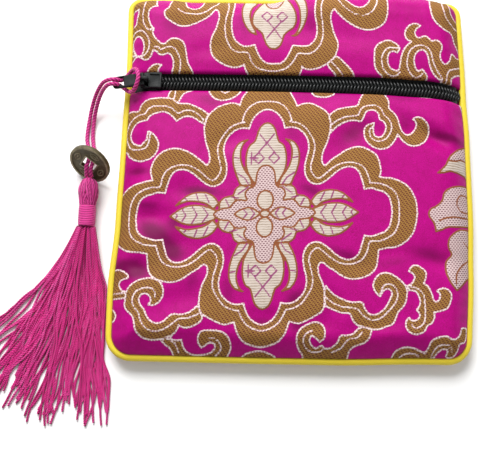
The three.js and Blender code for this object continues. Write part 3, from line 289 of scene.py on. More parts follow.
# Gold bands, scrolls and clouds above the zipper
UPPER_BAND: Table = (
    (-15.6, 28), (-15.6, 31.6), (-16, 32.2), (-16.6, 33.2), (-17, 34.7), (-18.4, 34),
    (-20, 33.7), (-22, 34), (-24, 34.8), (-26, 36), (-27.4, 37.6), (-28.1, 39.6), (-28.2, 42),
    (-27.6, 44.6), (-26.6, 46.8), (-26, 49), (-25.6, 51.4), (-26, 53.4), (-26.8, 54.4),
    (-27.4, 53.6), (-28.4, 52), (-30, 50.6), (-32, 49.4), (-34, 48.4), (-36, 47.7), (-38, 47.6),
    (-40, 48.3), (-42, 49.6), (-43.4, 50.8), (-43.8, 52.6), (-43.2, 53.8), (-42.4, 54.6),
    (-42, 64), (30.2, 64), (30.2, 60), (30.2, 57), (30, 54), (29.6, 51.6), (28.6, 49.8),
    (27, 48.6), (25, 47.8), (23, 47.7), (21, 48.1), (19, 49), (17, 50.2), (15, 51.8),
    (13.4, 53.4), (12.4, 54.8), (11.6, 53.6), (11.2, 51.6), (11.6, 49.4), (12.2, 47), (13, 45),
    (13.6, 43), (13.6, 41), (13, 39), (12.8, 38), (11.6, 36.8), (10.4, 35.8), (8.8, 34.8),
    (7, 34), (4.6, 33.6), (2.4, 34), (2, 34.6), (1.8, 33.4), (1.2, 32), (0.8, 31), (0.8, 28),
)
UPPER_FIELD: Table = (
    (-20.6, 64), (-20.6, 58), (-20.7, 55.6), (-21, 53), (-21.4, 50), (-21.4, 47.6), (-21, 45),
    (-20, 42.8), (-18.4, 41.4), (-17, 40.8), (-15, 41), (-13.6, 41.4), (-13.2, 40),
    (-12.2, 37.8), (-10.8, 36), (-9, 35.2), (-7, 35.2), (-5, 35.4), (-3.6, 36.6), (-2.4, 38.6),
    (-1.6, 40.4), (-1.2, 41.4), (0, 41.4), (2.4, 41.3), (4, 41.6), (5.4, 42.8), (6.4, 44.6),
    (6.8, 47), (6.6, 49.6), (6.1, 52), (6, 54.6), (6.3, 57.4), (6.7, 60), (6.8, 64),
)
UPPER_HOLES: tuple[Table, ...] = (
    ((-37, 64), (-36.6, 55.4), (-34.8, 54.3), (-32.8, 54.6), (-31.4, 56.4), (-30.8, 64)),
    ((14.6, 64), (15.4, 60), (17, 58), (18.6, 56.4), (20, 55.6), (21.6, 55.6), (23, 56.6),
     (24, 58.2), (24.6, 60), (25, 64)),
    ((-53, 45.2), (-51.4, 44.2), (-50.4, 42), (-50.2, 39.6), (-51, 37.8), (-52.4, 38),
     (-53.6, 39.8), (-54.4, 42), (-54.2, 44)),
    ((-59, 53), (-56, 53.4), (-54.4, 54.6), (-52.8, 54.8), (-53, 52.6), (-53.4, 51),
     (-53.6, 49.6), (-55.4, 48.9), (-59, 49)),
)
UPPER_SCROLLS: tuple[Table, ...] = (
    ((-59, 64), (-47, 64), (-46.6, 56), (-46.2, 55.1), (-47.6, 54.9), (-48.8, 53.4),
     (-49.2, 51.6), (-48.8, 49.6), (-48, 47.6), (-47, 46.3), (-47.4, 45.6), (-46.8, 43.8),
     (-45.6, 42.4), (-44, 41.3), (-43.2, 41.4), (-42, 42.6), (-40.6, 43.3), (-39, 43.1),
     (-37.4, 42.2), (-36.6, 40.6), (-36.2, 38.8), (-35.8, 36.6), (-35.4, 34.8), (-34.4, 33.2),
     (-33.8, 31.9), (-33.6, 28), (-40.6, 28), (-40.6, 32), (-40.2, 34), (-40.4, 36.2),
     (-41.2, 37.6), (-42.2, 38.2), (-43.6, 37.6), (-45, 37.8), (-46, 38.8), (-47, 39.2),
     (-47.6, 37.4), (-48.6, 36.2), (-50, 36.3), (-51, 37), (-52.4, 37.9), (-54, 37),
     (-55, 36), (-57, 34), (-59, 34)),
    ((-48.8, 28), (-48.6, 32.4), (-47.2, 34), (-45.6, 34.6), (-44, 34.2), (-45, 33.2),
     (-45.2, 32.2), (-45.2, 28)),
    ((12.8, 38.2), (14, 37.6), (16, 35.8), (17.8, 34), (18.8, 32.4), (19.4, 30.8), (19.8, 28),
     (14.4, 28), (13.8, 30.8), (12.8, 32.2), (11.6, 33.6), (10.4, 35), (10.4, 35.8),
     (11.6, 36.8)),
    ((28.6, 28), (28.4, 30.6), (28.2, 32), (27, 33), (26, 34.4), (25.6, 36.6), (25.6, 39),
     (25.8, 41), (26.8, 42.6), (28.4, 43.6), (30.4, 44), (32.2, 43.2), (33.6, 42), (33.8, 41),
     (33, 39.8), (31.8, 40.2), (30.6, 39.8), (30, 38.4), (30, 36.4), (30.6, 35), (32, 34),
     (33.2, 33.7), (33.8, 34.6), (34, 36), (34.4, 38.4), (35, 40.4), (35.8, 41.8), (37, 43),
     (37.8, 43.8), (36.8, 44.2), (36, 45), (35.7, 46.6), (36, 48), (36.8, 49.2), (38.2, 50),
     (39.8, 50.1), (41, 49.4), (40, 48.8), (39.2, 47.8), (39, 46.6), (39.4, 45.6),
     (40.4, 45.2), (41.4, 45.6), (42.6, 45.8), (43.6, 45), (44.6, 44.2), (45.8, 44.5),
     (47, 44), (47.8, 42.8), (47.8, 41.4), (47.2, 40), (47.2, 38.4), (47.8, 37.2),
     (48.6, 36.5), (49.6, 36.9), (50.6, 38), (51, 39.4), (51.4, 40.6), (52, 40.8), (53, 40),
     (54.4, 40.2), (55.2, 40.6), (59, 41), (59, 35.4), (55.2, 34.6), (54, 34), (52.4, 33.2),
     (51.2, 32), (51.2, 30.6), (51.2, 28), (47.8, 28), (47.6, 31), (46.4, 31.8), (45.2, 33),
     (44.2, 34.8), (43.6, 36.6), (43.2, 38.6), (42.6, 40.2), (41.4, 41), (40, 40.6),
     (39, 39.4), (38.6, 37.8), (38.8, 35.8), (39.4, 34.4), (40.2, 33.8), (41.2, 34.6),
     (42.4, 33.4), (43, 32), (42.6, 30.8), (42.6, 28)),
    ((44.6, 64), (44.6, 60), (44.3, 57.4), (44.4, 55), (44.9, 52.6), (46, 50.8), (47.8, 49.2),
     (49.6, 48.3), (51.2, 48.1), (52, 47), (52.8, 45), (53.6, 43.6), (54.6, 42),
     (55.2, 41.2), (59, 41.2), (59, 53), (55, 52.8), (54, 53.2), (52.6, 54), (51.4, 55.6),
     (51, 57.6), (51, 60), (51, 64)),
)
UPPER_LINES: tuple[Table, ...] = (
    ((-22.6, 64), (-22.8, 58.4), (-22.6, 56), (-22.8, 53), (-23.4, 50), (-23.6, 47),
     (-23.2, 44), (-22.2, 41.4), (-20.8, 39.6), (-19, 38.8), (-17, 38.8), (-15.8, 38.4),
     (-15, 36.6), (-14, 34.8), (-12.4, 33.6), (-10.4, 33), (-8, 32.8), (-5.6, 32.9),
     (-3.6, 33.6), (-1.8, 35), (-0.4, 37), (0.4, 38.5), (1.2, 38.8), (3.4, 38.6), (5.6, 39.4),
     (7.2, 41), (8.4, 43.6), (8.8, 46.4), (8.6, 49.4), (8.2, 52), (8, 54.6), (8.4, 57.4),
     (9.2, 60), (9.4, 64)),
    ((-39.4, 54), (-38, 52.8), (-36, 52.2), (-34, 52), (-32, 52.2), (-30, 53.2),
     (-28.8, 54.6), (-27.4, 56.4), (-26.4, 57.4), (-25.6, 61)),
    ((13.2, 60), (14.2, 58), (15.4, 56), (17, 54.4), (18.8, 53.2), (21, 52.6), (23, 52.8),
     (25, 54.2), (26.2, 56.4), (26.8, 59), (26.9, 64)),
    ((11.6, 36), (13, 34.8), (14.4, 33.2), (15.6, 31.6), (16.2, 30)),
    ((33.4, 41.2), (32, 41.4), (30.4, 41.5), (29.2, 40.6), (28.2, 38.8), (28, 36.8),
     (28.4, 34.6), (29.6, 33), (31.4, 32.1), (33, 32.4), (34, 33.4)),
    ((41.4, 33.2), (40.6, 32.2), (39.2, 31.9), (37.8, 32.6), (36.8, 34.2), (36.3, 36),
     (36.4, 38), (37, 40), (38, 41.4), (39.6, 42.4), (41.4, 42.5), (43.2, 41.6), (44.2, 40),
     (44.6, 38), (45.4, 35.8), (46.6, 33.6), (47.8, 32), (48, 30)),
    ((49.4, 30), (49.6, 33), (50.4, 34.6), (52, 35.6), (54, 36.6), (55.2, 37.4), (58, 38.8)),
    ((48.8, 64), (48.8, 60), (48.7, 57), (49, 54.4), (50, 52.4), (51.6, 51.2), (53.4, 50.4),
     (58, 49.6)),
    ((-50.6, 58), (-50.8, 55), (-51.2, 52.6), (-51, 50), (-50.2, 48), (-49, 46.4),
     (-47.2, 46.4)),
    ((-55.6, 44.6), (-54, 46.6), (-52.6, 47), (-50.8, 46.2), (-49.4, 44.4), (-48.4, 42),
     (-48.6, 39.6), (-49.6, 38), (-51.2, 37.2)),
    ((-46.6, 40.2), (-45.4, 40.2), (-44.6, 39.2), (-43, 40), (-41.6, 40.3), (-40, 39.8),
     (-38.8, 38), (-38, 35.8), (-37.9, 33.4), (-38.2, 32), (-38.2, 29)),
    ((-55, 43), (-54.9, 40.6), (-54.4, 39), (-53.4, 38.2)),
)

# The flower: quarter and half outlines from its centre, mirrored when it is drawn
PETAL_HALF: Table = (
    (0, 29.8), (1.6, 29), (2.6, 27.4), (3.2, 25.2), (3.9, 23.4), (5.2, 22.4), (6, 20.5),
    (6.3, 18.5), (6.3, 16.5), (6, 14.5), (5.2, 12.5), (4.3, 11), (3.6, 9.8),
)
UPRIGHT_HORN: Table = (
    (5.9, 24.3), (8.4, 23.4), (10, 21), (10.4, 18.2), (10, 15.2), (8.9, 12), (7.2, 9),
    (4.2, 9.4), (4.9, 11.6), (6.3, 13.6), (7.5, 16), (8.1, 18.8), (7.9, 21.4), (7.1, 23.2),
)
LEAF_HALF: Table = (
    (14.5, 1), (16, 1.7), (18, 2.5), (20, 3), (22, 3.1), (24, 2.9), (26, 2.1), (27.8, 1),
    (29.3, 0),
)
LEVEL_HORN: Table = (
    (14.3, 3.6), (15.9, 5.8), (18.2, 7.1), (21.4, 7.3), (24.6, 6.1), (27.5, 3.3), (24.1, 4.5),
    (20.9, 4.3), (17.8, 3.4), (15.9, 1.7),
)
LOBE: Table = (
    (6.9, 9.3), (8.2, 8.9), (9.3, 7.9), (10, 6), (10.9, 5.8), (12.8, 5.2), (14, 3.6), (14, 1.5),
    (5, 2), (3, 9),
)
ROSETTE_QUARTER: Table = (
    (0, 15.6), (1.8, 14.9), (2.6, 13.5), (3, 11), (3.2, 9.5), (3.8, 8.6), (4.9, 8.3),
    (5.9, 7.4), (6.2, 5.8), (5.6, 4.6), (5.9, 4.2), (7.2, 4.5), (9, 4.3), (10.2, 3),
    (10.9, 2.1), (12.5, 1.9), (14, 1.5), (15.3, 0.6), (15.7, 0),
)
EYE_HALF: Table = ((1.5, 0), (3, 1.3), (5, 2), (6.8, 1.6), (8.4, 0.8), (9.4, 0))
OVAL = (4.3, 2.5, 3.1)
HEART_OVAL = (0.0, 1.5, 1.1)

# Cream and dotted pieces of the flowers that the cloth's edges cut
UPPER_CREAM: tuple[Table, ...] = (
    ((-10.8, 64), (-10.8, 59.6), (-11.8, 57.4), (-12.8, 55.4), (-14, 53), (-14.6, 50.4),
     (-14.4, 48.6), (-13, 47), (-11.4, 45.6), (-10.6, 43.4), (-9.4, 41), (-7.5, 40),
     (-5.6, 41), (-4.6, 43.2), (-4.2, 45), (-2.8, 46.6), (-1.2, 47.8), (-0.2, 50),
     (-0.4, 53), (-1.4, 55.6), (-2.6, 58.4), (-3.2, 60.2), (-3.2, 64)),
    ((-17.4, 64), (-17.4, 58.6), (-18, 55), (-18, 52), (-17.4, 49.4), (-16.4, 47.4),
     (-15, 45.8), (-13.2, 45), (-13.6, 46.2), (-14.8, 48.6), (-15.4, 51), (-15.2, 53.6),
     (-14.4, 56), (-13.4, 57.6), (-12.8, 64)),
    ((0, 45.2), (1.2, 46.6), (2, 48), (3, 50.6), (3.4, 53), (3.2, 56), (2.8, 58.4),
     (2, 60.2), (1.6, 64), (-1, 64), (-0.6, 59.4), (0, 57.4), (0.8, 55), (1.2, 52),
     (1.2, 49.6), (0.6, 47.4), (-0.6, 45.4), (-1.6, 45)),
)
UPPER_DOTTED: tuple[Table, ...] = (
    ((-10.2, 64), (-10.2, 59), (-9.8, 57), (-9, 55.6), (-7.6, 55), (-6.2, 55.3),
     (-5.2, 56.6), (-4.4, 58.8), (-4, 60), (-4, 64)),
)
SIDE_CREAM: tuple[Table, ...] = (
    ((45.2, -0.8), (46.6, 0.4), (48, 2), (49, 4.2), (51, 6.4), (53, 8), (55.6, 9.2),
     (59, 10), (59, -2), (55.7, -1.6), (55, -0.9), (53, -0.4), (51, -0.2), (49.4, 0),
     (47.4, -0.6)),
)
SIDE_DOTTED: tuple[Table, ...] = (
    ((49, 3.4), (49, 4.2), (51, 6.4), (53, 8), (55.6, 9.2), (59, 10), (59, 4.4), (55.6, 4.4),
     (53.4, 4.4), (51.4, 3.6)),
    ((43, -12.4), (43.6, -12.2), (45.4, -11), (46.6, -9.4), (47, -7.6), (48.4, -6),
     (50, -5.2), (52, -4.6), (54.4, -4.2), (59, -4), (59, -17), (55.6, -17.2), (50.8, -18),
     (48, -18.2), (46, -19.2), (44.2, -19.8), (43.8, -17.4), (42.6, -15.6), (42, -14.4)),
    ((59, -18.2), (55.6, -18.4), (52.8, -18.6), (50.4, -19.8), (48.4, -22), (48.2, -24.8),
     (49.2, -26.8), (47.6, -28.8), (47.2, -31.2), (47.6, -33.6), (48.8, -36), (50.6, -38),
     (52.4, -36.4), (54.4, -34.4), (55.6, -33.6), (59, -33)),
)
BROWN_LINES: tuple[Table, ...] = (
    ((45.2, -16.4), (48, -15.2), (55.6, -14.6), (58, -14.4)),
    ((58, -27), (55.6, -28), (52, -30.8), (50.6, -33.2), (50.4, -36)),
    ((53.6, -22.4), (55.6, -24), (58, -25)),
    ((51.6, -9), (52.4, -7.8), (53.8, -7.3), (56, -7.6), (58, -9)),
    ((51.6, -9), (51.4, -10.5), (52, -12), (53.2, -12.8), (55.4, -12.8), (58, -11.6)),
)
PETAL_THREADS: tuple[Table, ...] = (
    ((-2.3, 26), (0, 23), (2.5, 20)), ((2.3, 26), (0, 23), (-2.5, 20)),
    ((2.4, 19.8), (4.2, 18), (2.4, 16.2), (0.7, 18), (2.4, 19.8)),
    ((-4.6, 20), (-4.6, 16)), ((-5.4, 18), (-2.6, 18)),
    ((-2.4, 19.8), (-0.7, 18), (-2.4, 16.2), (-4.2, 18), (-2.4, 19.8)),
)
LEAF_THREADS: tuple[Table, ...] = (
    ((19.2, 2.6), (17.4, 0), (19.2, -2.6)), ((22.4, 2.8), (20.8, 0), (22.4, -2.8)),
    ((25.6, 2.2), (24.2, 0), (25.6, -2.2)), ((27.6, 1.2), (26.9, 0), (27.6, -1.2)),
)
CORNER_THREADS: tuple[Table, ...] = (
    ((5.2, 9.4), (6.6, 11.6), (9, 13.2)), ((8.4, 18), (10.2, 18.4)), ((5.4, 8.6), (8.4, 6.4)),
    ((8.2, 5), (10.6, 5.6)), ((11, 2.4), (12.2, 4.8)), ((17.2, 3.8), (18.6, 6.8)),
    ((20.6, 4.6), (21.4, 7)), ((24, 4.7), (25, 5.9)),
)
EYE_THREADS: tuple[Table, ...] = (
    ((4.4, 1.7), (3.2, 0), (4.4, -1.7)), ((6.6, 1.4), (5.4, 0), (6.6, -1.4)),
)
UPPER_THREADS: tuple[Table, ...] = (
    ((-9.8, 43.8), (-7.3, 47.2), (-4.9, 50)), ((-5, 43.8), (-7.3, 47.2), (-9.7, 50)),
    ((-9.8, 53.4), (-8, 51.6), (-9.8, 49.8), (-11.6, 51.6), (-9.8, 53.4)),
    ((-4.8, 53.3), (-3, 51.5), (-4.8, 49.7), (-6.6, 51.5), (-4.8, 53.3)),
)


def table_value(table: Table, place: np.ndarray) -> np.ndarray:
    """Smooth values between the rows of a two-column table.

    Args:
        table: rows of place and value, in order of place.
        place: places to read.

    Returns:
        The values at those places.
    """
    keys = np.array([row[0] for row in table], float)
    values = np.array([row[1] for row in table], float)
    index = np.clip(np.searchsorted(keys, place, side="right") - 1, 0, len(keys) - 2)
    share = np.clip((place - keys[index]) / (keys[index + 1] - keys[index]), 0, 1)
    share = share * share * (3 - 2 * share)
    return values[index] + (values[index + 1] - values[index]) * share


def smooth_step(value: np.ndarray, low: float, high: float) -> np.ndarray:
    """Share from 0 at low to 1 at high, with soft ends."""
    share = np.clip((value - low) / (high - low), 0, 1)
    return share * share * (3 - 2 * share)


def patches(table: Table, x: np.ndarray, y: np.ndarray) -> np.ndarray:
    """Sum of soft oval patches, each a row of x, y, half sizes, turn and strength.

    Args:
        table: the patches.
        x: places across the purse, in millimetres.
        y: places up the purse, in millimetres.

    Returns:
        The sum at each place.
    """
    total = np.zeros_like(x)
    for cx, cy, along, across, turn, strength in table:
        cosine, sine = math.cos(math.radians(turn)), math.sin(math.radians(turn))
        u = ((x - cx) * cosine + (y - cy) * sine) / along
        v = ((y - cy) * cosine - (x - cx) * sine) / across
        total += strength * np.exp(-u * u - v * v)
    return total


def smooth_outline(points: Table, closed: bool, steps: int = 3) -> np.ndarray:
    """Rounds a charted outline between its points and keeps its sharp corners.

    Args:
        points: charted points.
        closed: whether the last point joins the first.
        steps: pieces made of each stretch.

    Returns:
        The finer outline as rows of x and y.
    """
    pts = np.array(points, float)
    count = len(pts)
    before, after = np.roll(pts, 1, 0), np.roll(pts, -1, 0)
    if not closed:
        before[0], after[-1] = pts[0], pts[-1]
    first, second = pts - before, after - pts
    len_first = np.linalg.norm(first, axis=1) + 1e-9
    len_second = np.linalg.norm(second, axis=1) + 1e-9
    cosine = (first * second).sum(1) / (len_first * len_second)
    tangent = first / len_first[:, None] + second / len_second[:, None]
    tangent /= np.linalg.norm(tangent, axis=1)[:, None] + 1e-9
    tangent[cosine < 0.35] = 0
    result = []
    for i in range(count if closed else count - 1):
        j = (i + 1) % count
        chord = np.linalg.norm(pts[j] - pts[i])
        for step in range(steps):
            t = step / steps
            a, b = 2 * t**3 - 3 * t**2 + 1, t**3 - 2 * t**2 + t
            c, d = -2 * t**3 + 3 * t**2, t**3 - t**2
            result.append(a * pts[i] + b * chord * tangent[i] + c * pts[j] + d * chord * tangent[j])
    result.append(pts[0] if closed else pts[-1])
    return np.array(result)


def lower_to(nearest: np.ndarray, points: np.ndarray, line: np.ndarray, reach: float) -> None:
    """Lowers each point's distance to what it is from a line, in place.

    Args:
        nearest: distances so far.
        points: rows of x and y.
        line: rows of x and y along the line.
        reach: greatest distance that counts.
    """
    run = 10
    for start in range(0, len(line) - 1, run):
        part = line[start:start + run + 1]
        low, high = part.min(0) - reach, part.max(0) + reach
        near = np.flatnonzero(((points >= low) & (points <= high)).all(1))
        if not len(near):
            continue
        here = points[near]
        best = nearest[near]
        for a, b in zip(part[:-1], part[1:]):
            along = b - a
            share = np.clip(((here - a) @ along) / (along @ along + 1e-12), 0, 1)
            gap = here - a - share[:, None] * along
            best = np.minimum(best, np.hypot(gap[:, 0], gap[:, 1]))
        nearest[near] = best


def inside(points: np.ndarray, outline: np.ndarray) -> np.ndarray:
    """Which points lie inside a closed outline.

    Args:
        points: rows of x and y.
        outline: rows of x and y, the last one the first again.

    Returns:
        True at each point inside it.
    """
    low, high = outline.min(0), outline.max(0)
    near = np.flatnonzero(((points >= low) & (points <= high)).all(1))
    found = np.zeros(len(points), bool)
    x, y = points[near, 0], points[near, 1]
    odd = np.zeros(len(near), bool)
    for (x0, y0), (x1, y1) in zip(outline[:-1], outline[1:]):
        if y0 == y1:
            continue
        crosses = (y0 > y) != (y1 > y)
        odd ^= crosses & (x < (x1 - x0) * (y - y0) / (y1 - y0) + x0)
    found[near] = odd
    return found


class Region:
    """A coloured region of the chart, from outlines that add to it and outlines cut from it."""

    REACH = 1.6

    def __init__(self, points: np.ndarray) -> None:
        """Starts an empty region over the points of a cloth.

        Args:
            points: rows of x and y.
        """
        self.points = points
        self.within = np.zeros(len(points), bool)
        self.nearest = np.full(len(points), self.REACH)

    def add(self, outlines: list[np.ndarray], keep: bool = True) -> None:
        """Adds closed outlines to the region, or cuts them from it when keep is False.

        Args:
            outlines: each rows of x and y, the last one the first again.
            keep: whether they add to the region.
        """
        for outline in outlines:
            within = inside(self.points, outline)
            self.within = (self.within | within) if keep else (self.within & ~within)
            lower_to(self.nearest, self.points, outline, self.REACH)

    def signed(self) -> np.ndarray:
        """Distance to the region's edge, positive inside."""
        return np.where(self.within, self.nearest, -self.nearest)


class BrocadeChart:
    """The woven design, as distances from a point of the cloth to each kind of thread."""

    LEFT_STRETCH = 1.02
    FOLD_LOW = -60.4
    FOLD_HIGH = 26.9
    ELLIPSE_POINTS = 29

    def woven(self, points: Table, left: int = 1, up: int = 1) -> list[tuple[float, float]]:
        """Places points given from the flower's centre, mirrored by the signs.

        Args:
            points: places to the right of the centre and above it.
            left: -1 to mirror them to the left, else 1.
            up: -1 to mirror them downwards, else 1.

        Returns:
            The places on the chart.
        """
        cx, cy = FLOWER_CENTRE
        placed = []
        for across, rise in points:
            u, v = across * left, rise * up
            stretch = self.LEFT_STRETCH if u < 0 else 1.0
            placed.append((cx + u * stretch + WARP_TILT * v, cy + v + WEFT_TILT * u))
        return placed

    def ring(self, quarter: Table) -> list[tuple[float, float]]:
        """A closed outline from its quarter, which runs from the top to the right.

        Args:
            quarter: charted points of the quarter.

        Returns:
            The outline's points.
        """
        right_up = self.woven(quarter)
        right_down = self.woven(quarter, 1, -1)[::-1]
        left_down = self.woven(quarter, -1, -1)
        left_up = self.woven(quarter, -1, 1)[::-1]
        return right_up + right_down[1:] + left_down[1:] + left_up[1:-1]

    def half_ring(self, half: Table, upright: bool, sign: int) -> list[tuple[float, float]]:
        """A closed outline from its half, mirrored about the upright or the level axis.

        Args:
            half: charted points of the half.
            upright: whether it is mirrored about the upright axis.
            sign: which side of the centre the outline is on.

        Returns:
            The outline's points.
        """
        if upright:
            return self.woven(half, 1, sign) + self.woven(half, -1, sign)[::-1][:-1]
        return self.woven(half, sign, 1) + self.woven(half, sign, -1)[::-1][1:]

    def ellipse(self, centre: tuple[float, float], across: float, rise: float) -> np.ndarray:
        """A closed ellipse from its centre and half sizes, counted from the flower's centre.

        Args:
            centre: its centre.
            across: half its width.
            rise: half its height.

        Returns:
            The outline's points.
        """
        turns = np.linspace(0, 2 * math.pi, self.ELLIPSE_POINTS)
        points = [(centre[0] + across * math.cos(a), centre[1] + rise * math.sin(a)) for a in turns]
        return np.array(self.woven(tuple(points)))

    def gold(self, points: np.ndarray) -> tuple[np.ndarray, np.ndarray]:
        """Gold bands and scrolls and the white lines on them.

        Args:
            points: rows of x and y on the chart.

        Returns:
            Signed distance to the gold, and distance to the nearest white line.
        """
        region = Region(points)
        foot_right = self.woven(OUTER_QUARTER, 1, -1)[::-1]
        foot_left = self.woven(OUTER_QUARTER, -1, -1)
        band = list(OUTER_LEFT) + foot_left[::-1][1:] + foot_right[::-1][1:-1] + list(OUTER_RIGHT)
        region.add([smooth_outline(tuple(band), True)])
        region.add([smooth_outline(tuple(self.ring(FIELD_QUARTER)), True)], keep=False)
        region.add([smooth_outline(s, True) for s in LOWER_SCROLLS])
        region.add([smooth_outline(UPPER_BAND, True)])
        region.add([smooth_outline(s, True) for s in UPPER_SCROLLS])
        region.add([smooth_outline(UPPER_FIELD, True)], keep=False)
        region.add([smooth_outline(s, True) for s in UPPER_HOLES], keep=False)
        lines = list(LOWER_LINES) + list(UPPER_LINES) + [LINE_CROWN]
        lines += [tuple(self.woven(LINE_QUARTER, a, b)) for a in (1, -1) for b in (1, -1)]
        lines += [tuple(self.woven(LINE_FOOT, a, -1)) for a in (1, -1)]
        crown = list(LINE_CROWN)
        lines.append((self.woven(LINE_QUARTER, -1, 1)[0], crown[0]))
        lines.append((self.woven(LINE_QUARTER, 1, 1)[0], crown[-1]))
        nearest = region.nearest.copy()
        for line in lines:
            lower_to(nearest, points, smooth_outline(tuple(line), False), Region.REACH)
        return region.signed(), nearest

    def flower(self, points: np.ndarray) -> dict[str, np.ndarray]:
        """Cream, dotted and outlined parts of the flowers and their thin coloured threads.

        Args:
            points: rows of x and y on the chart.

        Returns:
            The distances by the names under which the cloth stores them.
        """
        cream, dotted, ovals = Region(points), Region(points), Region(points)
        signs = (1, -1)
        closed = [self.half_ring(PETAL_HALF, True, s) for s in signs]
        closed += [self.half_ring(LEAF_HALF, False, s) for s in signs]
        for horn in (UPRIGHT_HORN, LEVEL_HORN, LOBE):
            closed += [self.woven(horn, a, b) for a in signs for b in signs]
        closed += list(UPPER_CREAM) + list(SIDE_CREAM)
        cream.add([smooth_outline(tuple(outline), True) for outline in closed])
        rose = [self.ring(ROSETTE_QUARTER)] + list(UPPER_DOTTED) + list(SIDE_DOTTED)
        dotted.add([smooth_outline(tuple(outline), True) for outline in rose])
        offset, across, rise = OVAL
        ovals.add([self.ellipse((0, s * offset), across, rise) for s in signs])
        ovals.add([self.ellipse((0, HEART_OVAL[0]), HEART_OVAL[1], HEART_OVAL[2])])
        ovals.add([smooth_outline(tuple(self.half_ring(EYE_HALF, False, s)), True) for s in signs])
        c, d, o = cream.signed(), dotted.signed(), ovals.signed()
        edge = np.where(d > 0, np.minimum(np.abs(d), np.abs(o)), np.minimum(np.abs(c), np.abs(d)))
        for line in BROWN_LINES:
            lower_to(edge, points, smooth_outline(line, False), Region.REACH)
        for divider in [self.woven(DIVIDER, a, b) for a in signs for b in signs]:
            lower_to(edge, points, np.array(divider), Region.REACH)
        threads = np.full(len(points), Region.REACH)
        fine = [self.woven(line, 1, b) for line in PETAL_THREADS for b in signs]
        fine += [self.woven(line, a, 1) for line in LEAF_THREADS + EYE_THREADS for a in signs]
        fine += [self.woven(line, a, b) for line in CORNER_THREADS for a in signs for b in signs]
        for line in fine + list(UPPER_THREADS):
            lower_to(threads, points, np.array(line, float), Region.REACH)
        threads = np.where(((c > 0) & (d < 0)) | (o > 0), threads, Region.REACH)
        return {"cream": np.where(d > 0, o, c), "dotted": np.where(o > 0, -o, d),
                "edge": edge, "threads": threads}

    def distances(self, points: np.ndarray) -> dict[str, np.ndarray]:
        """Every distance that the brocade's finish reads, by name."""
        gold, lines = self.gold(points)
        return {"gold": gold, "lines": lines, **self.flower(points)}

    def mirrored(self, points: np.ndarray) -> np.ndarray:
        """Points of another piece of cloth, whose design is mirrored from repeat to repeat.

        Args:
            points: rows of x and y on that piece.

        Returns:
            The places of the same threads on the chart.
        """
        rise = self.FOLD_HIGH - self.FOLD_LOW
        run = np.mod(points[:, 1] - self.FOLD_LOW, 2 * rise)
        return np.stack([points[:, 0], self.FOLD_LOW + np.minimum(run, 2 * rise - run)], 1)


def new_object(name: str, data: bpy.types.ID) -> bpy.types.Object:
    """Makes an object of some data and links it into the scene.

    Args:
        name: its name.
        data: its mesh, lamp or camera.

    Returns:
        The new object.
    """
    obj = bpy.data.objects.new(name, data)
    bpy.context.scene.collection.objects.link(obj)
    return obj


def evaluated_mesh(obj: bpy.types.Object) -> bpy.types.Mesh:
    """The plain mesh that an object's modifiers make.

    Args:
        obj: the object, in the scene.

    Returns:
        A mesh of its own.
    """
    graph = bpy.context.evaluated_depsgraph_get()
    graph.update()
    return bpy.data.meshes.new_from_object(obj.evaluated_get(graph))


def give(obj: bpy.types.Object, *materials: bpy.types.Material) -> None:
    """Gives a piece its materials, in place of any that it has.

    Args:
        obj: the piece.
        *materials: the materials, in order.
    """
    obj.data.materials.clear()
    for material in materials:
        obj.data.materials.append(material)


def make_mesh(name: str, points: np.ndarray, faces: list | np.ndarray, smooth: bool = True,
              metres: bool = False) -> bpy.types.Object:
    """Makes a mesh object at the origin.

    Args:
        name: the object's name.
        points: rows of x, y and z, in millimetres unless metres is set.
        faces: rows of corner numbers.
        smooth: whether its faces are shaded smooth.
        metres: whether the points are in metres already.

    Returns:
        The new object.
    """
    mesh = bpy.data.meshes.new(name)
    scale = 1.0 if metres else MM
    rows = faces.tolist() if isinstance(faces, np.ndarray) else faces
    mesh.from_pydata((np.asarray(points) * scale).tolist(), [], rows)
    mesh.update()
    obj = new_object(name, mesh)
    if smooth:
        mesh.polygons.foreach_set("use_smooth", [True] * len(mesh.polygons))
    return obj


def set_values(obj: bpy.types.Object, name: str, values: np.ndarray) -> None:
    """Stores a number at each point of a mesh, for its finish to read."""
    layer = obj.data.attributes.new(name, "FLOAT", "POINT")
    layer.data.foreach_set("value", np.asarray(values, np.float32))


def place_piece(obj: bpy.types.Object, nodes: tuple[str, ...] = ()) -> None:
    """Rides a piece on the purse and hides the solids that it stands for.

    Args:
        obj: the piece.
        nodes: names of the solids.
    """
    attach(obj, BODY)
    if nodes:
        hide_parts(*nodes)
    log.info("%s: %d faces", obj.name, len(obj.data.polygons) if obj.type == "MESH" else 0)


def grid_faces(rows: int, columns: int, start: int = 0, flip: bool = False) -> np.ndarray:
    """Quads of a grid of points, counter-clockwise from above unless flipped.

    Args:
        rows: points up the grid.
        columns: points across it.
        start: number of its first point.
        flip: whether it faces down.

    Returns:
        Rows of four corner numbers.
    """
    index = start + np.arange(rows * columns).reshape(rows, columns)
    quads = np.stack([index[:-1, :-1], index[:-1, 1:], index[1:, 1:], index[1:, :-1]], -1)
    quads = quads.reshape(-1, 4)
    return quads[:, ::-1] if flip else quads


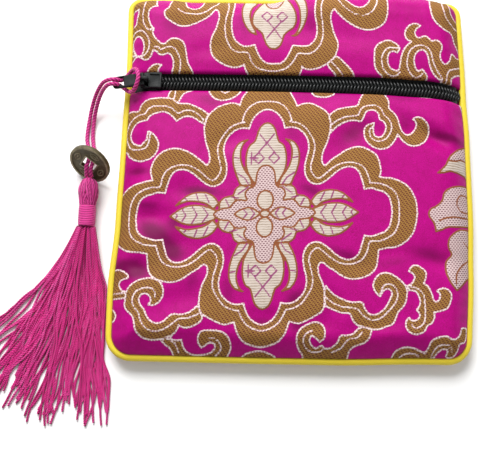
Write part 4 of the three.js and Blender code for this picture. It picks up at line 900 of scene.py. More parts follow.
def closed_slab(upper: np.ndarray, lower: np.ndarray) -> tuple[np.ndarray, np.ndarray]:
    """Points and quads of a closed slab between two grids of points, the first on top.

    Args:
        upper: rows and columns of points.
        lower: as many points below them.

    Returns:
        The points and the faces.
    """
    rows, columns = upper.shape[:2]
    count = rows * columns
    index = np.arange(count).reshape(rows, columns)
    rim = np.concatenate([index[0, :], index[1:, -1], index[-1, -2::-1], index[-2:0:-1, 0]])
    after = np.roll(rim, -1)
    wall = np.stack([rim, rim + count, after + count, after], -1)
    faces = np.concatenate([grid_faces(rows, columns), grid_faces(rows, columns, count, True), wall])
    return np.concatenate([upper.reshape(-1, 3), lower.reshape(-1, 3)]), faces


def spline_path(points: Table, step: float) -> np.ndarray:
    """Even points along a centripetal Catmull-Rom curve.

    Args:
        points: the curve's own points.
        step: distance between the results.

    Returns:
        Rows of x, y and z.
    """
    pts = np.array(points, float)
    pts = np.concatenate([[2 * pts[0] - pts[1]], pts, [2 * pts[-1] - pts[-2]]])
    fine = []
    for p0, p1, p2, p3 in zip(pts[:-3], pts[1:-2], pts[2:-1], pts[3:]):
        t1 = math.sqrt(np.linalg.norm(p1 - p0))
        t2 = t1 + math.sqrt(np.linalg.norm(p2 - p1))
        t3 = t2 + math.sqrt(np.linalg.norm(p3 - p2))
        for t in np.linspace(t1, t2, 12, endpoint=False):
            a1 = (t1 - t) / t1 * p0 + t / t1 * p1
            a2 = (t2 - t) / (t2 - t1) * p1 + (t - t1) / (t2 - t1) * p2
            a3 = (t3 - t) / (t3 - t2) * p2 + (t - t2) / (t3 - t2) * p3
            b1 = (t2 - t) / t2 * a1 + t / t2 * a2
            b2 = (t3 - t) / (t3 - t1) * a2 + (t - t1) / (t3 - t1) * a3
            fine.append((t2 - t) / (t2 - t1) * b1 + (t - t1) / (t2 - t1) * b2)
    fine = np.array(fine + [pts[-2]])
    return even_path(fine, step)


def even_path(points: np.ndarray, step: float) -> np.ndarray:
    """The same line through points at even distances.

    Args:
        points: rows of x, y and z.
        step: wished distance between the results.

    Returns:
        Rows of x, y and z.
    """
    lengths = np.concatenate([[0], np.cumsum(np.linalg.norm(np.diff(points, axis=0), axis=1))])
    count = max(int(round(lengths[-1] / step)), 2)
    places = np.linspace(0, lengths[-1], count + 1)
    return np.stack([np.interp(places, lengths, points[:, k]) for k in range(3)], 1)


def carried_frames(path: np.ndarray) -> tuple[np.ndarray, np.ndarray]:
    """Two directions square to a path at each of its points, carried along without twist.

    Args:
        path: rows of x, y and z.

    Returns:
        The first and the second direction at each point.
    """
    tangent = np.gradient(path, axis=0)
    tangent /= np.linalg.norm(tangent, axis=1)[:, None]
    side = np.cross(tangent[0], (0, 0, 1.0))
    if np.linalg.norm(side) < 0.1:
        side = np.cross(tangent[0], (0, 1.0, 0))
    first = []
    for along in tangent:
        side = side - along * (side @ along)
        side = side / np.linalg.norm(side)
        first.append(side)
    first = np.array(first)
    return first, np.cross(tangent, first)


def twisted_tube(path: np.ndarray, radius: np.ndarray, sides: int, plies: int,
                 pitch: float, depth: float, turn: float = 0.0) -> tuple[np.ndarray, ...]:
    """A closed tube that looks twisted of several plies.

    Args:
        path: rows of x, y and z along its middle.
        radius: its outer radius at each of them.
        sides: points round it.
        plies: strands twisted together.
        pitch: length of one full twist.
        depth: depth of the grooves between the strands, as a share of the radius.
        turn: where the twist starts, in radians.

    Returns:
        Its points, its faces, and at each point how deep in a groove it lies, from 0 to 1.
    """
    first, second = carried_frames(path)
    run = np.concatenate([[0], np.cumsum(np.linalg.norm(np.diff(path, axis=0), axis=1))])
    angle = np.linspace(0, 2 * math.pi, sides, endpoint=False)
    phase = plies * (angle[None, :] - turn - 2 * math.pi * run[:, None] / pitch) / 2
    groove = 1 - np.abs(np.cos(phase))
    reach = radius[:, None] * (1 - depth * groove**1.6)
    points = (path[:, None, :] + (reach * np.cos(angle))[..., None] * first[:, None, :]
              + (reach * np.sin(angle))[..., None] * second[:, None, :])
    count = len(path)
    index = np.arange(count * sides).reshape(count, sides)
    after = np.roll(index, -1, axis=1)
    quads = np.stack([index[:-1], after[:-1], after[1:], index[1:]], -1).reshape(-1, 4)
    faces = quads.tolist() + [index[0, ::-1].tolist(), index[-1].tolist()]
    return points.reshape(-1, 3), faces, groove.reshape(-1)


class Nodes:
    """Short ways to add nodes to a tree."""

    def __init__(self, tree: bpy.types.NodeTree) -> None:
        """Takes the tree that the nodes go into."""
        self.tree = tree

    def node(self, kind: str, **settings: object) -> bpy.types.Node:
        """Adds a node of a kind and sets what is named.

        Args:
            kind: the node's type.
            **settings: its settings by name.

        Returns:
            The new node.
        """
        made = self.tree.nodes.new(kind)
        for name, value in settings.items():
            setattr(made, name, value)
        return made

    def feed(self, socket: bpy.types.NodeSocket, value: object) -> None:
        """Links a socket into an input, or sets the input to a value.

        Args:
            socket: the input.
            value: a socket or a plain value.
        """
        if isinstance(value, bpy.types.NodeSocket):
            self.tree.links.new(value, socket)
        else:
            socket.default_value = value

    def math(self, operation: str, a: object, b: object = 0.0) -> bpy.types.NodeSocket:
        """One arithmetic step on numbers.

        Args:
            operation: the step's name.
            a: first number or socket.
            b: second number or socket.

        Returns:
            The result.
        """
        made = self.node("ShaderNodeMath", operation=operation)
        self.feed(made.inputs[0], a)
        self.feed(made.inputs[1], b)
        return made.outputs[0]


class Shade(Nodes):
    """Short ways to add shader nodes to a material or a node group."""

    def times(self, a: object, b: object) -> bpy.types.NodeSocket:
        """The product of two numbers."""
        return self.math("MULTIPLY", a, b)

    def ramp(self, value: object, low: float, high: float, first: float = 0.0,
             last: float = 1.0) -> bpy.types.NodeSocket:
        """A soft step from first at low to last at high.

        Args:
            value: what is read.
            low: where the step starts.
            high: where it ends.
            first: result up to the start.
            last: result from the end on.

        Returns:
            The result.
        """
        made = self.node("ShaderNodeMapRange", interpolation_type="SMOOTHSTEP")
        self.feed(made.inputs["Value"], value)
        for name, number in (("From Min", low), ("From Max", high), ("To Min", first), ("To Max", last)):
            made.inputs[name].default_value = number
        return made.outputs["Result"]

    def mix(self, share: object, a: object, b: object) -> bpy.types.NodeSocket:
        """A colour between two colours.

        Args:
            share: share of the second colour.
            a: first colour.
            b: second colour.

        Returns:
            The colour.
        """
        made = self.node("ShaderNodeMix", data_type="RGBA")
        self.feed(made.inputs[0], share)
        self.feed(made.inputs[6], a)
        self.feed(made.inputs[7], b)
        return made.outputs[2]

    def value(self, name: str) -> bpy.types.NodeSocket:
        """The number stored on the mesh under a name."""
        return self.node("ShaderNodeAttribute", attribute_name=name).outputs["Fac"]

    def millimetres(self) -> bpy.types.NodeSocket:
        """Place on the piece in millimetres.

        Returns:
            The place.
        """
        place = self.node("ShaderNodeTexCoord").outputs["Object"]
        made = self.node("ShaderNodeVectorMath", operation="SCALE")
        self.feed(made.inputs[0], place)
        made.inputs["Scale"].default_value = 1 / MM
        return made.outputs[0]

    def noise(self, place: object, scale: object, detail: float = 2.0,
              output: str = "Fac") -> bpy.types.NodeSocket:
        """Soft noise from 0 to 1 at a scale per millimetre, or its colour.

        Args:
            place: where it is read.
            scale: its scale.
            detail: finer octaves.
            output: which output is wanted.

        Returns:
            The noise.
        """
        made = self.node("ShaderNodeTexNoise")
        self.feed(made.inputs["Vector"], place)
        self.feed(made.inputs["Scale"], scale)
        made.inputs["Detail"].default_value = detail
        return made.outputs[output]

    def use(self, group: bpy.types.NodeTree, **inputs: object) -> bpy.types.Node:
        """Adds a node group with its inputs set; an underscore in a name stands for a space.

        Args:
            group: the node group.
            **inputs: its inputs by name.

        Returns:
            The group's node.
        """
        made = self.node("ShaderNodeGroup")
        made.node_tree = group
        for name, value in inputs.items():
            self.feed(made.inputs[name.replace("_", " ")], value)
        return made


class Surface(Shade):
    """A new material, with short ways to set its shader."""

    def __init__(self, name: str) -> None:
        """Makes the material.

        Args:
            name: the material's name.
        """
        self.material = bpy.data.materials.new(name)
        self.material.use_nodes = True
        super().__init__(self.material.node_tree)
        self.shader = self.tree.nodes["Principled BSDF"]

    def set(self, **inputs: object) -> None:
        """Sets the shader's inputs; an underscore in a name stands for a space."""
        for name, value in inputs.items():
            self.feed(self.shader.inputs[name.replace("_", " ")], value)

    def bump(self, height: object, strength: float = 1.0) -> None:
        """Raises the surface by a height in millimetres.

        Args:
            height: the height.
            strength: how strongly it shows.
        """
        made = self.node("ShaderNodeBump")
        made.inputs["Strength"].default_value = strength
        made.inputs["Distance"].default_value = MM
        self.feed(made.inputs["Height"], height)
        self.set(Normal=made.outputs["Normal"])


def new_group(name: str, inputs: tuple[tuple[str, str, float | None], ...],
              outputs: tuple[str, ...]) -> tuple[Shade, bpy.types.Node, bpy.types.Node]:
    """Starts a shader node group with named inputs and number outputs.

    Args:
        name: the group's name.
        inputs: label, kind and default of each input.
        outputs: label of each output.

    Returns:
        The group's tree, its input node and its output node.
    """
    tree = bpy.data.node_groups.new(name, "ShaderNodeTree")
    for label, kind, default in inputs:
        socket = tree.interface.new_socket(label, in_out="INPUT", socket_type=kind)
        if default is not None:
            socket.default_value = default
    for label in outputs:
        tree.interface.new_socket(label, in_out="OUTPUT", socket_type=NUMBER)
    shade = Shade(tree)
    return shade, shade.node("NodeGroupInput"), shade.node("NodeGroupOutput")


def dash_group() -> bpy.types.NodeTree:
    """Rows of short floats of thread, as on a twill or a spotted ground.

    Returns:
        The node group.
    """
    s, given, result = new_group(
        "Thread floats",
        (("Place", "NodeSocketVector", None), ("Row Pitch", NUMBER, 0.55),
         ("Float Length", NUMBER, 1.1), ("Row Shift", NUMBER, 0.37), ("Slant", NUMBER, 0.0)),
        ("Float", "Row"))
    wanted = given.outputs
    parts = s.node("ShaderNodeSeparateXYZ")
    s.feed(parts.inputs[0], wanted["Place"])
    slanted = s.math("ADD", parts.outputs["Y"], s.times(parts.outputs["X"], wanted["Slant"]))
    row = s.math("DIVIDE", slanted, wanted["Row Pitch"])
    along = s.math("DIVIDE", parts.outputs["X"], wanted["Float Length"])
    shifted = s.math("ADD", along, s.times(s.math("FLOOR", row), wanted["Row Shift"]))
    across, length = (s.math("ABSOLUTE", s.math("SUBTRACT", s.math("FRACT", place), 0.5))
                      for place in (row, shifted))
    mark = s.times(s.ramp(across, 0.2, 0.34, 1.0, 0.0), s.ramp(length, 0.24, 0.36, 1.0, 0.0))
    s.feed(result.inputs["Float"], mark)
    s.feed(result.inputs["Row"], s.ramp(across, 0.1, 0.45, 1.0, 0.0))
    return s.tree


def wear_group() -> bpy.types.NodeTree:
    """Uneven age of a metal or thread surface, as a soft patchiness and fine specks.

    Returns:
        The node group.
    """
    s, given, result = new_group(
        "Age", (("Place", "NodeSocketVector", None), ("Patch Scale", NUMBER, 0.5)),
        ("Patch", "Speck"))
    place = given.outputs["Place"]
    patch = s.noise(place, given.outputs["Patch Scale"], 4.0)
    s.feed(result.inputs["Patch"], s.ramp(patch, 0.38, 0.62))
    s.feed(result.inputs["Speck"], s.noise(place, 5.0, 3.0))
    return s.tree


@dataclass(frozen=True)
class Brocade:
    """The finish of the woven cloth, read from the distances stored on it."""

    magenta: Colour = (0.47, 0.001, 0.225, 1)
    magenta_deep: Colour = (0.25, 0.0008, 0.09, 1)
    # Colour of the painted shade in the satin's dark patches
    magenta_painted_shade: Colour = (0.12, 0.0003, 0.046, 1)
    gold: Colour = (0.285, 0.143, 0.036, 1)
    gold_dark: Colour = (0.085, 0.012, 0.018, 1)
    white: Colour = (0.72, 0.60, 0.59, 1)
    white_gap: Colour = (0.30, 0.08, 0.14, 1)
    cream: Colour = (0.54, 0.46, 0.40, 1)
    # Colour painted as shade in the gaps between the cream's ribs
    cream_painted_shade: Colour = (0.26, 0.19, 0.13, 1)
    rose: Colour = (0.58, 0.44, 0.43, 1)
    dot: Colour = (0.11, 0.03, 0.05, 1)
    brown: Colour = (0.23, 0.075, 0.028, 1)
    violet: Colour = (0.22, 0.008, 0.12, 1)
    # Row pitch, float length, shift from row to row and slant of each weave
    twill: tuple[float, ...] = (0.62, 1.0, 0.4, -0.3)
    spots: tuple[float, ...] = (0.62, 1.05, 0.5, -0.12)
    ribs: tuple[float, ...] = (0.8, 9.0, 0.31, -0.039)
    ticks: tuple[float, ...] = (0.9, 0.9, 0.5, 0.0)
    # Half widths of the soft edges and of the drawn lines, in millimetres
    blur: float = 0.06
    line: tuple[float, float] = (0.2, 0.3)
    border: tuple[float, float] = (0.22, 0.32)
    fine_line: tuple[float, float] = (0.2, 0.32)
    ragged: float = 0.3
    relief: float = 0.09

    def weaves(self, s: Surface, dashes: bpy.types.NodeTree) -> dict[str, bpy.types.Node]:
        """Adds the patterns of thread floats, the long ones on threads that waver.

        Args:
            s: the material's nodes.
            dashes: the group for rows of floats.

        Returns:
            The patterns' nodes by name.
        """
        place = s.millimetres()
        waver = s.node("ShaderNodeVectorMath", operation="MULTIPLY_ADD")
        s.feed(waver.inputs[0], s.noise(place, 0.9, output="Color"))
        waver.inputs[1].default_value = (0.5, 0.5, 0.0)
        s.feed(waver.inputs[2], place)
        made = {}
        for name, where, sizes in (("twill", waver.outputs[0], self.twill),
                                   ("spots", place, self.spots),
                                   ("ribs", waver.outputs[0], self.ribs),
                                   ("ticks", place, self.ticks)):
            pitch, length, shift, slant = sizes
            made[name] = s.use(dashes, Place=where, Row_Pitch=pitch, Float_Length=length,
                               Row_Shift=shift, Slant=slant)
        return made

    def masks(self, s: Surface) -> dict[str, bpy.types.NodeSocket]:
        """Where each kind of thread lies, from the distances stored on the cloth.

        Args:
            s: the material's nodes.

        Returns:
            Shares from 0 to 1 by name.
        """
        place = s.millimetres()
        rough = s.times(s.math("SUBTRACT", s.noise(place, 1.9, 1.0), 0.5), self.ragged)
        areas = {name: s.value(name) for name in ("gold", "cream", "dotted")}
        rims = {name: s.math("ABSOLUTE", value) for name, value in areas.items()}
        lines = s.math("MINIMUM", s.value("lines"), rims["gold"])
        borders = s.math("MINIMUM", rims["cream"], rims["dotted"])
        borders = s.math("MINIMUM", borders, s.value("edge"))
        threads = s.math("ADD", s.value("threads"), s.times(rough, 0.5))
        made = {name: s.ramp(value, -self.blur, self.blur) for name, value in areas.items()}
        made["line"] = s.ramp(s.math("ADD", lines, rough), *self.line, 1.0, 0.0)
        made["border"] = s.ramp(s.math("ADD", borders, rough), *self.border, 1.0, 0.0)
        made["thread"] = s.ramp(threads, *self.fine_line, 1.0, 0.0)
        return made

    def material(self, dashes: bpy.types.NodeTree) -> bpy.types.Material:
        """Makes the cloth's material.

        Args:
            dashes: the group for rows of floats.

        Returns:
            The material.
        """
        s = Surface("brocade_cloth")
        weaves, on = self.weaves(s, dashes), self.masks(s)
        place = s.millimetres()
        grain, fine = s.noise(place, 0.35, 3.0), s.noise(place, 6.0, 2.0)
        sparkle = s.math("ADD", s.times(grain, 0.55), s.ramp(fine, 0.32, 0.68, -0.25, 0.65))
        satin = s.mix(sparkle, self.magenta, self.magenta_deep)
        # Painted shade: the satin darkens towards a deep magenta in the stored patches
        satin = s.mix(s.times(s.value("shade"), 0.9), satin, self.magenta_painted_shade)
        floats = s.times(weaves["twill"].outputs["Float"], s.ramp(fine, 0.3, 0.62, 0.6, 1.15))
        gold = s.mix(floats, self.gold, self.gold_dark)
        # Painted shade: the gold dims towards its dark colour in the same patches
        gold = s.mix(s.times(s.value("shade"), 0.3), gold, self.gold_dark)
        white = s.mix(s.times(weaves["ticks"].outputs["Float"], 0.7), self.white, self.white_gap)
        # Painted shade: the cream darkens in the gaps between its ribs, unevenly with the grain
        gap = s.math("POWER", s.math("SUBTRACT", 1.0, weaves["ribs"].outputs["Row"]), 2.0)
        cream = s.mix(s.times(gap, s.ramp(grain, 0.3, 0.7, 0.35, 0.95)), self.cream, self.cream_painted_shade)
        dotted = s.mix(s.times(weaves["spots"].outputs["Float"], 0.9), self.rose, self.dot)
        colour = satin
        for name, thread in (("gold", gold), ("line", white), ("cream", cream), ("dotted", dotted),
                             ("border", self.brown)):
            colour = s.mix(on[name], colour, thread)
        colour = s.mix(s.times(on["thread"], 0.85), colour, self.violet)
        raised = s.math("MAXIMUM", s.math("MAXIMUM", on["gold"], on["cream"]), on["dotted"])
        raised = s.math("MAXIMUM", raised, s.math("MAXIMUM", on["line"], on["border"]))
        height = s.times(raised, self.relief)
        for surface, share in ((s.times(weaves["twill"].outputs["Float"], on["gold"]), -0.05),
                               (s.times(weaves["ribs"].outputs["Row"], on["cream"]), 0.04),
                               (on["line"], 0.05), (fine, 0.03)):
            height = s.math("ADD", height, s.times(surface, share))
        s.bump(height, 0.8)
        s.set(Base_Color=colour, Roughness=s.ramp(raised, 0.0, 1.0, 0.5, 0.7),
              Specular_IOR_Level=0.09)
        return s.material


@dataclass(frozen=True)
class ThreadFinish:
    """A finish of twisted or woven thread, with painted shade in its grooves."""

    name: str
    colour: Colour
    # Darker colour, painted as shade in the grooves and also used for fibre tone and age patches
    groove: Colour
    roughness: float
    # Colour of the painted highlights
    light: Colour = (0.93, 0.13, 0.46, 1)
    sheen: float = 0.1
    fibre: float = 9.0
    bump: float = 0.06
    shine: float = 0.2

    def material(self, age: bpy.types.NodeTree) -> bpy.types.Material:
        """Makes the material; stored numbers paint shade into its grooves and highlights onto strands.

        Args:
            age: the group for patches and specks.

        Returns:
            The material.
        """
        s = Surface(self.name)
        place = s.millimetres()
        worn = s.use(age, Place=place, Patch_Scale=0.35)
        fibres = s.noise(place, self.fibre, 3.0)
        # Painted highlights: lighter glints along some strands, their strength random from strand to
        # strand
        glint = s.times(s.ramp(s.value("strand_glint"), 0.25, 1.0),
                        s.ramp(s.noise(place, 0.8, 2.0), 0.4, 0.6, 0.25, 0.75))
        top = s.mix(glint, self.colour, self.light)
        # Painted shade: the thread darkens in its grooves by the stored groove depth
        base = s.mix(s.ramp(s.value("groove"), 0.05, 0.7), top, self.groove)
        light = s.mix(s.times(worn.outputs["Patch"], 0.1), base, self.groove)
        s.bump(s.times(fibres, self.bump))
        s.set(Base_Color=s.mix(s.times(fibres, 0.3), light, self.groove),
              Roughness=s.ramp(fibres, 0.3, 0.7, self.roughness - 0.06, self.roughness + 0.08),
              Sheen_Weight=self.sheen, Specular_IOR_Level=self.shine)
        return s.material


@dataclass(frozen=True)
class MetalFinish:
    """A cast metal, brighter in soft random patches of wear."""

    name: str
    colour: Colour
    patch: Colour
    roughness: float
    metallic: float
    bump: float = 0.03
    shine: float = 0.5

    def material(self, age: bpy.types.NodeTree) -> bpy.types.Material:
        """Makes the material.

        Args:
            age: the group for patches and specks.

        Returns:
            The material.
        """
        s = Surface(self.name)
        worn = s.use(age, Place=s.millimetres(), Patch_Scale=0.6)
        speck = worn.outputs["Speck"]
        s.bump(s.times(speck, self.bump))
        s.set(Base_Color=s.mix(worn.outputs["Patch"], self.colour, self.patch),
              Roughness=s.ramp(speck, 0.3, 0.7, self.roughness - 0.1, self.roughness + 0.12),
              Metallic=self.metallic, Specular_IOR_Level=self.shine)
        return s.material


@dataclass(frozen=True)
class WovenFinish:
    """A plain ribbed weave, as on a zipper's tape or a bias piping."""

    name: str
    colour: Colour
    # Darker colour, painted as shade along the edges of the ribs and between them, also used for random
    # tone
    shade: Colour
    pitch: float
    slant: float
    roughness: float
    depth: float = 0.04
    sheen: float = 0.15
    shine: float = 0.4

    def material(self, dashes: bpy.types.NodeTree) -> bpy.types.Material:
        """Makes the material.

        Args:
            dashes: the group for rows of floats.

        Returns:
            The material.
        """
        s = Surface(self.name)
        place = s.millimetres()
        weave = s.use(dashes, Place=place, Row_Pitch=self.pitch, Float_Length=self.pitch * 2,
                      Row_Shift=0.5, Slant=self.slant).outputs
        tone = s.noise(place, 0.4, 3.0)
        # Painted shade: each rib is lighter in its middle and darkens towards the gaps between ribs
        base = s.mix(s.times(weave["Row"], 0.6), self.shade, self.colour)
        s.bump(s.times(weave["Row"], self.depth))
        s.set(Base_Color=s.mix(s.times(tone, 0.35), base, self.shade),
              Roughness=s.ramp(weave["Float"], 0.0, 1.0, self.roughness + 0.08, self.roughness - 0.05),
              Sheen_Weight=self.sheen, Specular_IOR_Level=self.shine)
        return s.material


@dataclass(frozen=True)
class PurseForm:
    """Shape of the purse's body, with the sizes of the part's source."""

    width: float = 115.0
    height: float = 123.0
    bottom_corner: float = 8.0
    top_corner: float = 5.0
    cloth: float = 2.0
    gap: float = 0.3
    seam_level: float = 4.5
    seam_step: float = 1.65
    seam_set: float = 0.75
    front_rise: float = 5.2
    front_shoulder: float = 8.0
    front_dome: float = 1.6
    back_shoulder: float = 9.0
    side_bow: float = 1.0
    dent_depth: float = 1.6
    piping_radius: float = 1.25
    zip_line: float = 28.9
    zip_droop: float = 1.8
    zip_opening: float = 6.0
    zip_valley: float = 2.0
    zip_valley_reach: float = 8.0

    @property
    def inset(self) -> float:
        """How far the panels' edges lie inside the purse's outline."""
        return self.piping_radius + self.seam_set

    @property
    def half_width(self) -> float:
        """Half width of a panel."""
        return self.width / 2 - self.inset

    @property
    def half_height(self) -> float:
        """Half height of the body's panels together."""
        return self.height / 2 - self.inset

    def depth_inside(self, x: np.ndarray, y: np.ndarray) -> np.ndarray:
        """How far a point lies inside the panels' rounded outline.

        Args:
            x: places across the purse, in millimetres.
            y: places up the purse, in millimetres.

        Returns:
            Millimetres inside it, negative outside.
        """
        radius = np.where(y < 0, self.bottom_corner, self.top_corner) - self.inset
        dx = np.abs(x) - (self.half_width - radius)
        dy = np.abs(y) - (self.half_height - radius)
        outside = np.hypot(np.maximum(dx, 0), np.maximum(dy, 0))
        return radius - outside - np.minimum(np.maximum(dx, dy), 0)

    def zip_at(self, x: np.ndarray) -> np.ndarray:
        """The zipper's line across the front."""
        return self.zip_line - self.zip_droop * table_value(ZIP_LINE_DROPS, x / (self.width / 2))

    def shoulder(self, depth: np.ndarray, reach: float) -> np.ndarray:
        """Share of the full rise at a depth inside the edge."""
        return np.sin(math.pi / 2 * np.clip(depth / reach, 0, 1))

    def dents(self, x: np.ndarray, y: np.ndarray) -> np.ndarray:
        """Depth of the front's dents.

        Args:
            x: places across the purse, in millimetres.
            y: places up the purse, in millimetres.

        Returns:
            Depths in millimetres.
        """
        total = np.zeros_like(x)
        half_w, half_h = self.width / 2, self.height / 2
        for cx, cy, along, across, turn, share in FRONT_DENTS:
            dx, dy = x - cx * half_w, y - cy * half_h
            cosine, sine = math.cos(math.radians(turn)), math.sin(math.radians(turn))
            u = (dx * cosine + dy * sine) / (along * half_w)
            v = (dy * cosine - dx * sine) / (across * half_h)
            total += share * self.dent_depth * np.exp(-u * u - v * v)
        return total

    def front_level(self, x: np.ndarray, y: np.ndarray) -> np.ndarray:
        """Height of the front's outer face before its sides bow.

        Args:
            x: places across the purse, in millimetres.
            y: places up the purse, in millimetres.

        Returns:
            Heights in millimetres.
        """
        full = self.shoulder(self.depth_inside(x, y), self.front_shoulder)
        dome = self.front_dome * (1 - (x / (self.width / 2))**2) * (1 - (y / (self.height / 2))**2)
        valley = self.zip_valley * np.exp(-((y - self.zip_at(x)) / self.zip_valley_reach)**2)
        return (self.seam_level + self.seam_step + self.front_rise * full + dome
                - (valley + self.dents(x, y)) * full)

    def back_level(self, x: np.ndarray, y: np.ndarray) -> np.ndarray:
        """Height of the back's outer face."""
        rise = 1 - self.shoulder(self.depth_inside(x, y), self.back_shoulder)
        return (self.seam_level - self.seam_step) * rise

    def below(self, front: bool, x: np.ndarray, y: np.ndarray, depth: np.ndarray) -> np.ndarray:
        """Points at a depth below the front or the back, measured square to it.

        Args:
            front: whether it is the front.
            x: places across the purse, in millimetres.
            y: places up the purse, in millimetres.
            depth: the depths in millimetres.

        Returns:
            Points as x, y and z.
        """
        level = self.front_level if front else self.back_level
        step = 0.05
        slope_x = (level(x + step, y) - level(x - step, y)) / (2 * step)
        slope_y = (level(x, y + step) - level(x, y - step)) / (2 * step)
        normal = np.stack([-slope_x, -slope_y, np.ones_like(x)], -1)
        normal /= np.linalg.norm(normal, axis=-1, keepdims=True)
        surface = np.stack([x, y, level(x, y)], -1)
        return surface - normal * np.asarray(depth)[..., None]

    def bowed(self, points: np.ndarray) -> np.ndarray:
        """Points moved with the bow of the sides.

        Args:
            points: points as x, y and z.

        Returns:
            The moved points.
        """
        moved = points.copy()
        x, y = points[..., 0] / (self.width / 2), points[..., 1] / (self.height / 2)
        across = np.where(x < 0, -table_value(SIDE_BOWS["left"], y), table_value(SIDE_BOWS["right"], y))
        along = np.where(y < 0, -table_value(SIDE_BOWS["bottom"], x), table_value(SIDE_BOWS["top"], x))
        moved[..., 0] += self.side_bow * across * x * x
        moved[..., 1] += self.side_bow * along * y * y
        return moved

    def reach(self, y: np.ndarray) -> np.ndarray:
        """Half width of a panel at a height, inside its rounded corners.

        Args:
            y: places up the purse, in millimetres.

        Returns:
            Half widths in millimetres.
        """
        radius = np.where(y < 0, self.bottom_corner, self.top_corner) - self.inset
        rise = np.clip(np.abs(y) - (self.half_height - radius), 0, None)
        return self.half_width - radius + np.sqrt(np.clip(radius**2 - rise**2, 0, None))

    def zip_points(self, x: np.ndarray, across: float, depth: float) -> np.ndarray:
        """Points beside the zipper's line, at a depth below the front's face."""
        y = self.zip_at(x) + across
        return self.bowed(self.below(True, x, y, np.full_like(x, depth)))


